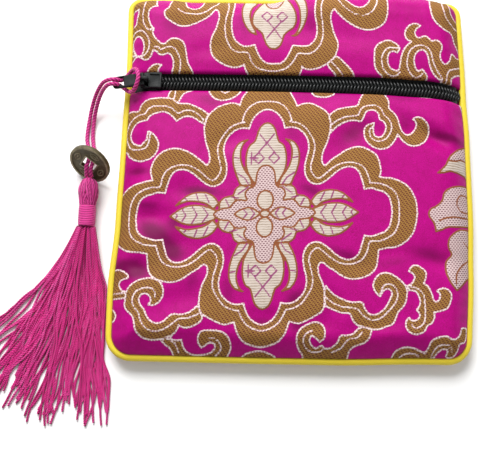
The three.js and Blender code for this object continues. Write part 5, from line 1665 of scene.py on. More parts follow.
@dataclass
class PurseBody:
    """The three brocade panels and the piping round them."""

    form: PurseForm
    chart: BrocadeChart
    cloth: bpy.types.Material
    trim: bpy.types.Material
    front_step: float = 0.45
    back_step: float = 0.62
    relief: float = 0.1
    fold_round: float = 1.1
    pucker: float = 0.16
    pucker_length: float = 5.2
    overhang_reach: float = 2.5
    fold_depth: float = 1.7
    piping_step: float = 0.9
    piping_sides: int = 18
    sway: float = 0.1
    lean_rise: float = 0.35
    fold_drop: float = 0.8
    hem_reach: float = 0.9
    hem_drop: float = 0.6
    wrinkle_depth: float = 0.035
    wrinkle_length: float = 2.7

    def rows(self, low: float, high: float, corner: float, upper: bool, step: float) -> np.ndarray:
        """Heights of the rows of a panel, closer together round its corner.

        Args:
            low: height of the lowest row.
            high: height of the highest row.
            corner: radius of the panel's corner.
            upper: whether the corner is at the top.
            step: distance between the other rows.

        Returns:
            The heights.
        """
        turns = np.radians(np.linspace(0, 90, 15))
        rises = corner * (1 - np.cos(turns))
        if upper:
            straight = np.linspace(low, high - corner, int((high - corner - low) / step) + 1)
            return np.concatenate([straight[:-1], high - rises[::-1]])
        straight = np.linspace(low + corner, high, int((high - low - corner) / step) + 1)
        return np.concatenate([low + rises, straight[1:]])

    def grid(self, rows: np.ndarray, step: float, bend: np.ndarray) -> tuple[np.ndarray, np.ndarray]:
        """Places of a panel's grid.

        Args:
            rows: heights of the rows.
            step: distance between its columns.
            bend: share of the zipper's droop that each row follows.

        Returns:
            The x and the y of each point.
        """
        shares = np.linspace(-1, 1, int(2 * self.form.half_width / step) + 1)
        x = self.form.reach(rows)[:, None] * shares[None, :]
        droop = self.form.zip_at(x) - self.form.zip_line
        return x, rows[:, None] + droop * bend[:, None]

    def creases(self, x: np.ndarray, y: np.ndarray) -> np.ndarray:
        """Small puckers along the seams and faint unevenness of the cloth.

        Args:
            x: places across the purse, in millimetres.
            y: places up the purse, in millimetres.

        Returns:
            How far the cloth rises at each place.
        """
        depth = np.clip(self.form.depth_inside(x, y), 0, None)
        run = np.where(np.abs(x) / self.form.half_width > np.abs(y) / self.form.half_height, y, x)
        wave = np.sin(2 * math.pi * run / self.pucker_length + 1.3 * np.sin(run / 7.0))
        seam = self.pucker * wave * np.exp(-(depth / 3.0)) * smooth_step(depth, 0.2, 1.5)
        folds = -self.fold_depth * patches(FRONT_FOLDS, x, y)
        sway = np.sin(x / 9.0 + 1.7 * np.sin(y / 14.0)) * np.sin(y / 8.0 + 0.9 * np.sin(x / 11.0))
        return seam + (folds + self.sway * sway) * smooth_step(depth, 2, 8)

    def overhang(self, x: np.ndarray, y: np.ndarray) -> np.ndarray:
        """How the padded front leans out over the piping along the top edge.

        Args:
            x: places across the purse, in millimetres.
            y: places up the purse, in millimetres.

        Returns:
            How far each point moves, as x, y and z.
        """
        below_top = np.clip(self.form.half_height - y, 0, None)
        from_side = smooth_step(self.form.half_width - np.abs(x), 0, 4)
        swell = np.interp(x, *np.array(TOP_SWELLS).T) * from_side
        rise = smooth_step(below_top, 0, 1.4) * (1 - smooth_step(below_top, 2.5, 13))
        lean = self.overhang_reach * swell * rise
        return np.stack([np.zeros_like(x), lean, self.lean_rise * lean], -1)

    def dress(self, obj: bpy.types.Object, distances: dict[str, np.ndarray]) -> None:
        """Stores the chart's distances on both faces of a panel and gives it its cloth.

        Args:
            obj: the panel.
            distances: the distances by name.
        """
        for name, values in distances.items():
            set_values(obj, name, np.tile(values, 2))
        give(obj, self.cloth)

    def faces(self, front: bool, x: np.ndarray, y: np.ndarray) -> tuple[np.ndarray, np.ndarray]:
        """Outer and inner face of a panel, its cloth thinner where the seam leaves less room.

        Args:
            front: whether the panel is the front's rather than the back's.
            x: places across the purse.
            y: places up the purse.

        Returns:
            The points of the outer and of the inner face.
        """
        form, side = self.form, 1 if front else -1
        seam = form.seam_level + side * form.gap / 2
        outer = form.below(front, x, y, np.zeros_like(x))
        probe = form.below(front, x, y, side * np.ones_like(x))
        room = (outer[..., 2] - seam) / (outer[..., 2] - probe[..., 2])
        inner = form.below(front, x, y, side * np.minimum(form.cloth, room))
        return form.bowed(outer), form.bowed(inner)

    def rounded(self, depth: np.ndarray, reach: float) -> np.ndarray:
        """Share that an edge drops at a depth inside it, as a quarter round."""
        return 1 - np.sqrt(1 - np.clip(1 - depth / reach, 0, 1)**2)

    def front(self, name: str, upper_panel: bool) -> bpy.types.Object:
        """Makes the front's panel above or below the zipper.

        Args:
            name: the piece's name.
            upper_panel: whether it is the one above.

        Returns:
            The panel.
        """
        form = self.form
        edge = form.zip_line + (1 if upper_panel else -1) * form.zip_opening / 2
        if upper_panel:
            low, high, corner = edge, form.half_height, form.top_corner - form.inset
        else:
            low, high, corner = -form.half_height, edge, form.bottom_corner - form.inset
        rows = self.rows(low, high, corner, upper_panel, self.front_step)
        end = high - corner if upper_panel else low + corner
        bend = np.clip((rows - end) / (edge - end), 0, 1)
        x, y = self.grid(rows, self.front_step, bend)
        outer, inner = self.faces(True, x, y)
        fold = self.rounded(np.abs(rows - edge)[:, None], self.fold_round)
        hem = self.rounded(form.depth_inside(x, y), self.hem_reach)
        if upper_panel:
            outer += self.overhang(x, y)
        places = outer[..., :2].reshape(-1, 2)
        values = self.chart.distances(places)
        raised = np.maximum(np.maximum(values["gold"], values["cream"]), values["dotted"])
        lift = self.relief * smooth_step(raised, -0.1, 0.5).reshape(x.shape)
        outer[..., 2] += self.creases(x, y) + lift - self.fold_drop * fold - self.hem_drop * hem
        obj = make_mesh(name, *closed_slab(outer, inner))
        # Painted shade: the satin's dark patches, stored for the cloth's colour to darken
        painted_shades = smooth_step(patches(SATIN_PAINTED_SHADES, x, y).ravel(), 0.05, 0.85)
        self.dress(obj, {**values, "shade": painted_shades})
        return obj

    def back(self) -> bpy.types.Object:
        """Makes the back, whose design is the front's, mirrored from repeat to repeat.

        Returns:
            The panel.
        """
        form = self.form
        high = form.half_height
        bottom = self.rows(-high, 0.0, form.bottom_corner - form.inset, False, self.back_step)
        top = self.rows(0.0, high, form.top_corner - form.inset, True, self.back_step)
        rows = np.concatenate([bottom, top[1:]])
        x, y = self.grid(rows, self.back_step, np.zeros_like(rows))
        outer, inner = self.faces(False, x, y)
        obj = make_mesh("back_cloth", *closed_slab(inner, outer))
        places = outer[..., :2].reshape(-1, 2) * np.array([-1.0, 1.0])
        self.dress(obj, self.chart.distances(self.chart.mirrored(places)))
        return obj

    def piping(self) -> bpy.types.Object:
        """Makes the piping round the seam.

        Returns:
            The piping.
        """
        form = self.form
        r = form.piping_radius
        half_w, half_h = form.width / 2 - r, form.height / 2 - r
        corners = ((1, -1, form.bottom_corner, -90), (1, 1, form.top_corner, 0),
                   (-1, 1, form.top_corner, 90), (-1, -1, form.bottom_corner, 180))
        line = []
        for sx, sy, corner, start in corners:
            radius = corner - r
            for angle in np.radians(np.linspace(start, start + 90, 12)):
                line.append((sx * (half_w - radius) + radius * math.cos(angle),
                             sy * (half_h - radius) + radius * math.sin(angle), form.seam_level))
        line.append(line[0])
        path = even_path(np.array(line), self.piping_step)[:-1]
        path = form.bowed(path)
        along = np.roll(path, -1, 0) - np.roll(path, 1, 0)
        along /= np.linalg.norm(along, axis=1)[:, None]
        inward = np.stack([-along[:, 1], along[:, 0], np.zeros(len(path))], 1)
        angle = np.linspace(0, 2 * math.pi, self.piping_sides, endpoint=False)
        run = np.arange(len(path)) * self.piping_step
        turn = 2 * math.pi * run[:, None] / self.wrinkle_length
        reach = r * (1 - self.wrinkle_depth * (0.5 + 0.5 * np.sin(turn + angle[None, :])))
        up = np.array([0, 0, 1.0])
        points = (path[:, None] + (reach * np.cos(angle))[..., None] * inward[:, None]
                  + (reach * np.sin(angle))[..., None] * up)
        index = np.arange(len(path) * self.piping_sides).reshape(len(path), -1)
        after, onward = np.roll(index, -1, 1), np.roll(index, -1, 0)
        quads = np.stack([index, after, np.roll(after, -1, 0), onward], -1).reshape(-1, 4)
        obj = make_mesh("piping", points.reshape(-1, 3), quads)
        give(obj, self.trim)
        return obj

    def build(self) -> None:
        """Makes the body's pieces."""
        form = self.form
        upper_size = form.half_height - form.zip_line - form.zip_opening / 2
        lower_size = form.half_height + form.zip_line - form.zip_opening / 2
        pieces = (("front_lower_cloth", False, lower_size, "front_lower_panel"),
                  ("front_upper_cloth", True, upper_size, "front_upper_panel"))
        for name, upper, size, node in pieces:
            cloth = self.front(name, upper)
            place_piece(cloth, (node,))
        back = self.back()
        place_piece(back, ("back_panel",))
        place_piece(self.piping(), ("edge_piping",))


class NodeTool(Nodes):
    """A geometry node tree built here and run once on a line or a set of lines."""

    def __init__(self, name: str, inputs: tuple[tuple[str, str, object], ...]) -> None:
        """Starts the tree with a geometry input and the named inputs.

        Args:
            name: the tree's name.
            inputs: label, kind and default of each.
        """
        super().__init__(bpy.data.node_groups.new(name, "GeometryNodeTree"))
        face = self.tree.interface
        face.new_socket("Geometry", in_out="INPUT", socket_type="NodeSocketGeometry")
        face.new_socket("Geometry", in_out="OUTPUT", socket_type="NodeSocketGeometry")
        self.keys = {}
        for label, kind, default in inputs:
            socket = face.new_socket(label, in_out="INPUT", socket_type=kind)
            socket.default_value = default
            self.keys[label] = socket.identifier
        self.given = self.node("NodeGroupInput")
        self.result = self.node("NodeGroupOutput")

    def link(self, source: bpy.types.NodeSocket, target: bpy.types.NodeSocket) -> None:
        """Joins two sockets."""
        self.tree.links.new(source, target)

    def vector(self, x: object, y: object, z: object) -> bpy.types.NodeSocket:
        """A vector from three numbers.

        Args:
            x: first number or socket.
            y: second number or socket.
            z: third number or socket.

        Returns:
            The vector.
        """
        made = self.node("ShaderNodeCombineXYZ")
        for socket, value in zip(made.inputs, (x, y, z)):
            self.feed(socket, value)
        return made.outputs[0]

    def store(self, name: str, geometry: bpy.types.NodeSocket, value: object) -> bpy.types.NodeSocket:
        """Stores a number at each point under a name, for a finish to read.

        Args:
            name: the name.
            geometry: what the points belong to.
            value: the number or its socket.

        Returns:
            The geometry with the number.
        """
        made = self.node("GeometryNodeStoreNamedAttribute", data_type="FLOAT", domain="POINT")
        made.inputs["Name"].default_value = name
        self.link(geometry, made.inputs["Geometry"])
        self.feed(made.inputs["Value"], value)
        return made.outputs[0]

    def sweep(self, line: bpy.types.NodeSocket, profile: bpy.types.NodeSocket) -> bpy.types.NodeSocket:
        """A closed tube of a profile along a line.

        Args:
            line: the line's curve.
            profile: the profile's curve.

        Returns:
            The tube.
        """
        made = self.node("GeometryNodeCurveToMesh")
        made.inputs["Fill Caps"].default_value = True
        self.link(line, made.inputs["Curve"])
        self.link(profile, made.inputs["Profile Curve"])
        return made.outputs[0]

    def even_line(self, setting: str, name: str) -> bpy.types.NodeSocket:
        """The given line with even points, by a resampling setting and the input it reads.

        Args:
            setting: Count or Length.
            name: the input that it reads.

        Returns:
            The line as a curve.
        """
        line = self.node("GeometryNodeMeshToCurve")
        even = self.node("GeometryNodeResampleCurve", mode="COUNT" if setting == "Count" else "LENGTH")
        self.link(self.given.outputs["Geometry"], line.inputs[0])
        self.link(line.outputs[0], even.inputs["Curve"])
        self.link(self.given.outputs[name], even.inputs[setting])
        return even.outputs[0]

    def finish(self, source: bpy.types.NodeSocket, material: bpy.types.Material) -> None:
        """Ends the tree: instances made real, shaded smooth, with their material.

        Args:
            source: the geometry.
            material: its material.
        """
        real = self.node("GeometryNodeRealizeInstances")
        smooth = self.node("GeometryNodeSetShadeSmooth")
        dress = self.node("GeometryNodeSetMaterial")
        dress.inputs["Material"].default_value = material
        self.link(source, real.inputs[0])
        self.link(real.outputs[0], smooth.inputs[0])
        self.link(smooth.outputs[0], dress.inputs[0])
        self.link(dress.outputs[0], self.result.inputs[0])

    def run(self, name: str, lines: list[np.ndarray], **values: object) -> bpy.types.Object:
        """Runs the tree on polylines in millimetres and keeps the plain mesh.

        Args:
            name: name of the new piece.
            lines: each a set of rows of x, y and z.
            values: the named inputs, with an underscore for each space.

        Returns:
            The finished object, at the origin.
        """
        points = np.concatenate(lines) * MM
        edges, start = [], 0
        for line in lines:
            edges += [(start + i, start + i + 1) for i in range(len(line) - 1)]
            start += len(line)
        mesh = bpy.data.meshes.new(name + "_line")
        mesh.from_pydata(points.tolist(), edges, [])
        source = new_object(name + "_line", mesh)
        modifier = source.modifiers.new(name, "NODES")
        modifier.node_group = self.tree
        for label, value in values.items():
            modifier[self.keys[label.replace("_", " ")]] = value
        made = evaluated_mesh(source)
        source.modifiers.remove(modifier)
        bpy.data.objects.remove(source)
        made.name = name
        return new_object(name, made)


@dataclass
class Zipper:
    """The closed chain of the zipper, its tapes, its slider and its pull tab."""

    form: PurseForm
    nylon: bpy.types.Material
    tape: bpy.types.Material
    metal: bpy.types.Material
    chain_start: float = -45.4
    chain_end: float = 55.1
    pitch: float = 1.12
    reach: float = 2.35
    rise: float = 0.75
    lean: float = 0.5
    wire: float = 0.4
    sink: float = 0.95
    tape_width: float = 10.6
    tape_end_width: float = 2.7
    tape_end: float = 54.4
    tape_depth: float = 2.3
    tape_end_depth: float = 0.6
    tape_cloth: float = 0.8
    tape_near: float = 0.15
    tape_fade: float = 7.0
    tape_rise: float = 5.0
    slot: tuple[float, float, float] = (-52.4, -44.0, 0.8)
    chain_apart: float = 0.12
    # Shape of a tooth's wire: reach over the chain's middle, then its heights as shares of the rise
    inner_reach: float = -0.16
    crown_reach: float = 0.3
    foot_height: float = -1.3
    crown_height: float = 1.35
    tip_height: float = -0.5
    tooth_steps: int = 7
    wire_sides: int = 6

    def tooth_tree(self) -> NodeTool:
        """The tree that sets a bent tooth at even steps along a line.

        Returns:
            The tree.
        """
        tool = NodeTool("Zipper teeth", (
            ("Tooth Count", "NodeSocketInt", 80), ("Tooth Reach", NUMBER, self.reach * MM),
            ("Tooth Rise", NUMBER, self.rise * MM), ("Tooth Lean", NUMBER, self.lean * MM),
            ("Wire Radius", NUMBER, self.wire * MM), ("Side", NUMBER, 1.0)))
        given = tool.given.outputs
        reach = tool.math("MULTIPLY", given["Tooth Reach"], given["Side"])
        foot, crown, tip = (tool.math("MULTIPLY", given["Tooth Rise"], share)
                            for share in (self.foot_height, self.crown_height, self.tip_height))
        inner, middle = (tool.math("MULTIPLY", reach, share)
                         for share in (self.inner_reach, self.crown_reach))
        back = tool.math("MULTIPLY", given["Tooth Lean"], -1.0)
        bend = tool.node("GeometryNodeCurveQuadraticBezier")
        bend.inputs["Resolution"].default_value = self.tooth_steps
        tool.link(tool.vector(back, reach, foot), bend.inputs["Start"])
        tool.link(tool.vector(0.0, middle, crown), bend.inputs["Middle"])
        tool.link(tool.vector(given["Tooth Lean"], inner, tip), bend.inputs["End"])
        ring = tool.node("GeometryNodeCurvePrimitiveCircle")
        ring.inputs["Resolution"].default_value = self.wire_sides
        tool.link(given["Wire Radius"], ring.inputs["Radius"])
        tooth = tool.sweep(bend.outputs[0], ring.outputs["Curve"])
        even = tool.even_line("Count", "Tooth Count")
        tangent = tool.node("GeometryNodeInputTangent")
        align = tool.node("FunctionNodeAlignEulerToVector", axis="X", pivot_axis="Z")
        tool.link(tangent.outputs[0], align.inputs["Vector"])
        place = tool.node("GeometryNodeInstanceOnPoints")
        tool.link(even, place.inputs["Points"])
        tool.link(tooth, place.inputs["Instance"])
        tool.link(align.outputs[0], place.inputs["Rotation"])
        tool.finish(place.outputs[0], self.nylon)
        return tool

    def tape_strip(self, side: float, name: str) -> bpy.types.Object:
        """Makes a tape, whose far edge lies hidden under the brocade.

        Args:
            side: 1 above the chain, -1 below it.
            name: which tape it is.

        Returns:
            The tape.
        """
        x = np.linspace(-self.tape_end, self.tape_end, 220)
        across = np.linspace(0, 1, 22)[:, None]
        inside_end = np.clip((self.form.half_width - np.abs(x)) / self.tape_fade, 0, 1)
        width = self.tape_end_width + (self.tape_width - self.tape_end_width) * inside_end
        left, right, room = self.slot
        near = np.where((x > left) & (x < right), room, self.tape_near)
        run = near + (width - near) * across
        y = self.form.zip_at(x) + side * run
        x = np.broadcast_to(x, y.shape)
        edge = np.clip(self.form.depth_inside(x, y) / self.tape_rise, 0, 1)
        depth = self.tape_end_depth + (self.tape_depth - self.tape_end_depth) * edge
        top = self.form.bowed(self.form.below(True, x, y, depth))
        bottom = self.form.bowed(self.form.below(True, x, y, depth + self.tape_cloth))
        if side < 0:
            top, bottom = top[::-1], bottom[::-1]
        obj = make_mesh("tape_" + name, *closed_slab(top, bottom))
        give(obj, self.tape)
        return obj

    def build(self) -> None:
        """Makes the chain and the tapes and rounds the metal parts."""
        tool = self.tooth_tree()
        count = int(round((self.chain_end - self.chain_start) / self.pitch))
        for side, name in ((1, "upper"), (-1, "lower")):
            shift = 0.0 if side > 0 else self.pitch / 2
            x = np.linspace(self.chain_start + shift, self.chain_end, 90)
            line = self.form.zip_points(x, side * self.chain_apart, self.sink)
            chain = tool.run("chain_" + name, [line], Tooth_Count=count, Side=float(side))
            place_piece(chain, ("zipper_coil_" + name,))
            tape = self.tape_strip(float(side), name)
            place_piece(tape, ("zipper_tape_" + name,))
        for node, name, round_size in (("zipper_slider", "slider", 0.16), ("pull_tab", "tab", 0.2)):
            piece = rounded_copy(node, name, round_size)
            give(piece, self.metal)
            place_piece(piece, (node,))


def rounded_copy(node: str, name: str, size: float, segments: int = 3) -> bpy.types.Object:
    """A copy of a solid with rounded edges.

    Args:
        node: the solid's name.
        name: name of the copy.
        size: width of the rounding, in millimetres.
        segments: faces across it.

    Returns:
        The copy, at the origin.
    """
    obj = new_object(name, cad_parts[node].data.copy())
    weld = obj.modifiers.new("weld", "WELD")
    weld.merge_threshold = 1e-5
    flat = obj.modifiers.new("flat", "DECIMATE")
    flat.decimate_type = "DISSOLVE"
    flat.angle_limit = math.radians(2)
    bevel = obj.modifiers.new("round", "BEVEL")
    bevel.width = size * MM
    bevel.segments = segments
    bevel.limit_method = "ANGLE"
    bevel.angle_limit = math.radians(28)
    made = evaluated_mesh(obj)
    obj.modifiers.clear()
    obj.data = made
    made.polygons.foreach_set("use_smooth", [True] * len(made.polygons))
    made.set_sharp_from_angle(angle=math.radians(35))
    return obj


@dataclass
class PurseCord:
    """The doubled cord from the tassel's head through the coin to the pull tab."""

    thread: bpy.types.Material
    diameter: float = 1.4
    step: float = 0.35
    sides: int = 20
    plies: int = 3
    pitch: float = 3.3
    groove: float = 0.3

    def build(self) -> None:
        path = spline_path(CORD_ROUTE, self.step)
        radius = np.full(len(path), self.diameter / 2)
        points, faces, groove = twisted_tube(path, radius, self.sides, self.plies, self.pitch,
                                             self.groove)
        obj = make_mesh("pull_cord", points, faces)
        # The groove depth is stored for the finish to paint shade into the cord's grooves
        set_values(obj, "groove", groove)
        give(obj, self.thread)
        place_piece(obj, ("cord_loop",))


@dataclass
class PurseCoin:
    """The square-holed coin with a raised rim, hole border and leaf ornament."""

    bronze: bpy.types.Material
    worn: bpy.types.Material
    centre: tuple[float, float, float] = (-66.35, 1.3, 6.4)
    facing: tuple[float, float, float] = (-0.33, -0.78, 0.53)
    hole_turn: float = -20.0
    web: float = 0.9
    mark_radius: float = 0.2
    mark_place: float = 4.5
    mark_length: float = 3.4
    mark_width: float = 0.95

    def axes(self) -> Matrix:
        """The coin's own frame: level, up the slope and out of its face.

        Returns:
            The three directions as columns.
        """
        out = Vector(self.facing).normalized()
        level = Vector((0, 0, 1)).cross(out).normalized()
        return Matrix((level, out.cross(level), out)).transposed()

    def marks(self) -> list[np.ndarray]:
        """Lines of the leaf ornament on each side of the hole, in the coin's own frame.

        Returns:
            The lines, each as rows of x, y and z.
        """
        lines = []
        t = np.linspace(0, 1, 9)
        for quarter in range(4):
            turn = math.radians(self.hole_turn + 90 * quarter)
            cos, sin = math.cos(turn), math.sin(turn)
            for curve in (1.0, -1.0, 0.0):
                across = curve * self.mark_width * np.sin(math.pi * t)
                along = (t - 0.5) * self.mark_length * (1.0 if curve else 0.5)
                x = self.mark_place + across
                for face in (1.0, -1.0):
                    z = np.full_like(t, face * self.web / 2)
                    lines.append(np.stack([x * cos - along * sin, x * sin + along * cos, z], 1))
        return lines

    def polish(self, disc: bpy.types.Object, axes: np.ndarray) -> None:
        """Gives the raised faces of the rim and of the hole's border the worn bronze.

        Args:
            disc: the coin.
            axes: its own frame, directions as columns.
        """
        for face in disc.data.polygons:
            local = (np.array(face.center) / MM - np.array(self.centre)) @ axes
            out = abs(float(np.array(face.normal) @ axes[:, 2]))
            face.material_index = int(abs(local[2]) > 0.6 * self.web and out > 0.5)

    def build(self) -> None:
        """Makes the coin."""
        disc = rounded_copy("coin", "coin_disc", 0.14)
        axes = np.array(self.axes())
        parts, faces, start = [], [], 0
        for line in self.marks():
            path = line @ axes.T + np.array(self.centre)
            radius = np.full(len(path), self.mark_radius)
            radius[[0, -1]] *= 0.4
            points, quads = twisted_tube(path, radius, 8, 1, 1000.0, 0.0)[:2]
            parts.append(points)
            faces += [[corner + start for corner in quad] for quad in quads]
            start += len(points)
        marks = make_mesh("coin_marks", np.concatenate(parts), faces)
        give(disc, self.bronze, self.worn)
        give(marks, self.worn)
        self.polish(disc, axes)
        with bpy.context.temp_override(active_object=disc, object=disc,
                                       selected_editable_objects=[disc, marks]):
            bpy.ops.object.join()
        place_piece(disc, ("coin",))


@dataclass
class Tassel:
    """The tassel: a netted head, a wrapped binding and a skirt of twisted strands."""

    thread: bpy.types.Material
    pale: bpy.types.Material
    head_top: tuple[float, float, float] = (-66.85, -3.0, 3.55)
    head_length: float = 9.0
    head_radius: float = 3.35
    binding_length: float = 6.2
    binding_radius: float = 2.85
    gap: float = 0.3
    lean: float = 2.1
    skirt_length: float = 62.0
    lock_height: float = 2.3
    strands: int = 136
    strand_radius: float = 0.47
    strand_pitch: float = 2.4
    seed: int = 7
    head_strands: int = 22
    waves: float = 1.7
    purse_left: float = -59.4
    purse_corner: float = 2.6
    strand_step: float = 0.8
    hollow: float = 0.62
    bulb_share: float = 0.84
    wrap_pitch: float = 0.58
    # Strength of the painted shade in the binding's grooves
    wrap_groove_shade: float = 0.65
    root_reach: float = 0.84
    root_spread: float = 1.06
    crossing_pitch: float = 16.0

    # Turn of the strands down the head in degrees, and how deep their middles lie
    HEAD_LAYERS: Table = ((48, 0.42), (-34, 0.58))
    HEAD_PROFILE: Table = ((0, 0.02), (0, 0.3), (0.05, 0.6), (0.17, 0.86), (0.4, 1), (0.66, 0.97),
                           (0.86, 0.86), (1, 0.78))
    # Size, least and greatest rate of the bends of a strand, and height of a lock down its length
    WANDER: Table = ((0.09, 3, 7), (0.07, 8, 15), (0.05, 18, 30))
    LOCK_PROFILE: Table = ((0, 0.35, 0.75, 1), (1.5, 0.95, 0.7, 0.3))
    # Across the collar, heading there and at the tip, length and height, by row of the fan
    FAN: Table = (
        (0.78, 11, 1, 1.02, 0.8), (0.55, 9, 4, 0.9, 0.95), (0.4, 5, 2, 0.99, 1.0),
        (0.1, 0, -2, 0.97, 1.1), (-0.1, -5, -7, 0.99, 1.1), (-0.3, -10, -13, 1.0, 1.0),
        (-0.4, -16, -18, 0.98, 1.0), (-0.5, -19, -27, 0.96, 0.9), (-0.6, -21, -33, 0.95, 0.85),
        (-0.7, -21, -44, 0.93, 0.75), (-0.8, -22, -60, 0.92, 0.7),
    )

    def down(self, distance: float | np.ndarray) -> np.ndarray:
        """Points down the tassel's leaning axis.

        Args:
            distance: distance below the head's top.

        Returns:
            Points as x, y and z.
        """
        lean = math.radians(self.lean)
        along = np.array([0, -math.cos(lean), -math.sin(lean)])
        return np.array(self.head_top) + np.multiply.outer(distance, along)

    def head(self) -> bpy.types.Object:
        """Makes the bulb of the head with its slanting strands.

        Returns:
            The bulb.
        """
        rows = np.array(self.HEAD_PROFILE)
        share = np.concatenate([np.zeros(4), np.linspace(0.006, 0.992, 60), np.ones(3)])
        radius = np.interp(share, rows[1:, 0], rows[1:, 1]) * self.head_radius
        radius[:4] = np.array([0.05, 0.45, 0.8, 1.0]) * radius[4]
        radius[-3:] *= np.array([0.95, 0.6, 0.05])
        place = share * self.head_length
        place[:4] = (0.0, 0.01, 0.02, 0.03)
        place[-3:] = self.head_length + np.array([0.0, 0.01, 0.02])
        points, faces, groove = twisted_tube(self.down(place), radius * self.bulb_share, 60,
                                             self.head_strands, 34.0, 0.085)
        obj = make_mesh("tassel_bulb", points, faces)
        # The groove depth is stored for the finish to paint shade between the head's strands
        set_values(obj, "groove", groove)
        give(obj, self.pale)
        return obj

    def head_lines(self) -> list[np.ndarray]:
        """Lines of the strands that cross each other over the head.

        Returns:
            The lines, each as rows of x, y and z.
        """
        rows = np.array(self.HEAD_PROFILE)
        share = np.linspace(0.015, 0.99, 16)
        radius = np.interp(share, rows[1:, 0], rows[1:, 1]) * self.head_radius
        middle = self.down(share * self.head_length)
        along = self.down(1.0) - self.down(0.0)
        side = np.array([1.0, 0, 0])
        up = np.cross(side, along)
        random = np.random.default_rng(self.seed)
        lines = []
        for turn, sink in self.HEAD_LAYERS:
            for number in range(self.head_strands):
                start = 2 * math.pi * number / self.head_strands + random.normal(0, 0.09)
                angle = start + math.radians(turn) * (share + 0.12 * np.sin(share * 5 + number))
                reach = np.maximum(radius - sink, 0.3)
                lines.append(middle + (reach * np.cos(angle))[:, None] * side
                             + (reach * np.sin(angle))[:, None] * up)
        return lines

    def binding(self) -> bpy.types.Object:
        """Makes the wrapped binding below the head.

        Returns:
            The binding.
        """
        start = self.head_length + self.gap
        share = np.linspace(0, 1, 116)
        bulge = 1 - 0.06 * np.abs(2 * share - 1)**4
        radius = self.binding_radius * bulge
        place = start - 0.28 + share * (self.binding_length + 0.5)
        points, faces, groove = twisted_tube(self.down(place), radius, 40, 1, self.wrap_pitch, 0.06)
        obj = make_mesh("tassel_wrap", points, faces)
        # The groove depth, scaled, is stored for the finish to paint shade into the wraps
        set_values(obj, "groove", groove * self.wrap_groove_shade)
        give(obj, self.pale)
        return obj

    def strand_tree(self) -> NodeTool:
        """The tree that turns lines into twisted strands.

        Returns:
            The tree.
        """
        tool = NodeTool("Tassel strands", (
            ("Strand Radius", NUMBER, self.strand_radius * MM),
            ("Twist Pitch", NUMBER, self.strand_pitch * MM), ("Step", NUMBER, self.strand_step * MM),
            ("Groove", NUMBER, 0.7)))
        given = tool.given.outputs
        even = tool.even_line("Length", "Step")
        place = tool.node("GeometryNodeSplineParameter")
        strand = tool.node("GeometryNodeCurveOfPoint")
        start = tool.node("FunctionNodeRandomValue", data_type="FLOAT")
        tool.link(strand.outputs["Curve Index"], start.inputs["ID"])
        start.inputs["Seed"].default_value = self.seed
        turns = tool.math("DIVIDE", place.outputs["Length"], given["Twist Pitch"])
        turns = tool.math("ADD", turns, start.outputs["Value"])
        tilt = tool.node("GeometryNodeSetCurveTilt")
        tool.link(even, tilt.inputs["Curve"])
        tool.link(tool.math("MULTIPLY", turns, 2 * math.pi), tilt.inputs["Tilt"])
        # A random number per strand, stored to set how strong its painted highlights are
        line = tool.store("strand_glint", tilt.outputs[0], start.outputs["Value"])
        ply = tool.node("GeometryNodeCurveStar")
        ply.inputs["Points"].default_value = 3
        tool.link(tool.math("MULTIPLY", given["Strand Radius"], self.hollow), ply.inputs["Inner Radius"])
        tool.link(given["Strand Radius"], ply.inputs["Outer Radius"])
        # The grooves between the plies, scaled by the Groove input, are stored for the finish to paint
        # shade in them
        hollow = tool.math("SUBTRACT", 1.0, ply.outputs["Outer Points"])
        depth = tool.math("MULTIPLY", hollow, given["Groove"])
        profile = tool.store("groove", ply.outputs["Curve"], depth)
        tool.finish(tool.sweep(line, profile), self.thread)
        return tool

    def strand_lines(self) -> list[np.ndarray]:
        """Lines of the skirt's strands, from the collar down to the table.

        Returns:
            The lines, each as rows of x, y and z.
        """
        random = np.random.default_rng(self.seed)
        fan = np.array(self.FAN)
        top = self.down(self.head_length + self.gap + self.binding_length + self.gap)
        lines = []
        steps = 46
        share = np.linspace(0, 1, steps)
        for number in range(self.strands):
            place = (number + random.uniform(-0.4, 0.4)) / (self.strands - 1)
            row = np.interp(place, (0, 0.92, 1), (0, 0.8, 1)) * (len(fan) - 1)
            start, out, tip, length, height = (
                np.interp(row + random.normal(0, stray), range(len(fan)), fan[:, k])
                for k, stray in enumerate((0.9, 0.4, 0.5, 0.0, 0.0)))
            out, tip = out + random.normal(0, 1.5), tip + random.normal(0, 5.0)
            run = self.skirt_length * length * random.uniform(0.82, 1.04)
            layer = random.uniform(0, 1)
            bend = np.radians(out + (tip - out) * share)
            wander = np.zeros(steps)
            for size, slow, fast in self.WANDER:
                rate, start_turn = random.uniform(slow, fast), random.uniform(0, 6.3)
                wander += size * self.waves * np.sin(share * rate + start_turn)
            bend = bend + wander * smooth_step(share, 0.08, 0.45)
            dx, dy = np.sin(bend), -np.cos(bend)
            step = run / (steps - 1)
            root = np.clip(start, -self.root_reach, self.root_reach) * self.binding_radius
            x = top[0] + root * self.root_spread + np.cumsum(dx) * step
            y = top[1] + 1.0 + np.cumsum(dy) * step
            thick = self.lock_height * height * np.interp(share, *self.LOCK_PROFILE)
            floor = (1 - smooth_step(share, 0, 0.3)) * (top[2] - 1.6)
            spare = np.clip(thick - 2 * self.strand_radius, 0, None)
            z = floor + self.strand_radius * 0.9 + layer * spare
            z = z + 0.12 * np.sin(share * 20 + number) * smooth_step(share, 0.1, 0.3) * layer
            edge = self.purse_left + self.purse_corner * smooth_step(-y, 60.0, 68.0)
            x = np.minimum(x, edge - 0.35 * random.uniform(0, 1) * smooth_step(share, 0.2, 0.5))
            lines.append(np.stack([x, y, np.maximum(z, self.strand_radius)], 1))
        return lines

    def build(self) -> None:
        """Makes the head, the binding and the skirt."""
        tool = self.strand_tree()
        place_piece(self.head(), ("tassel_head",))
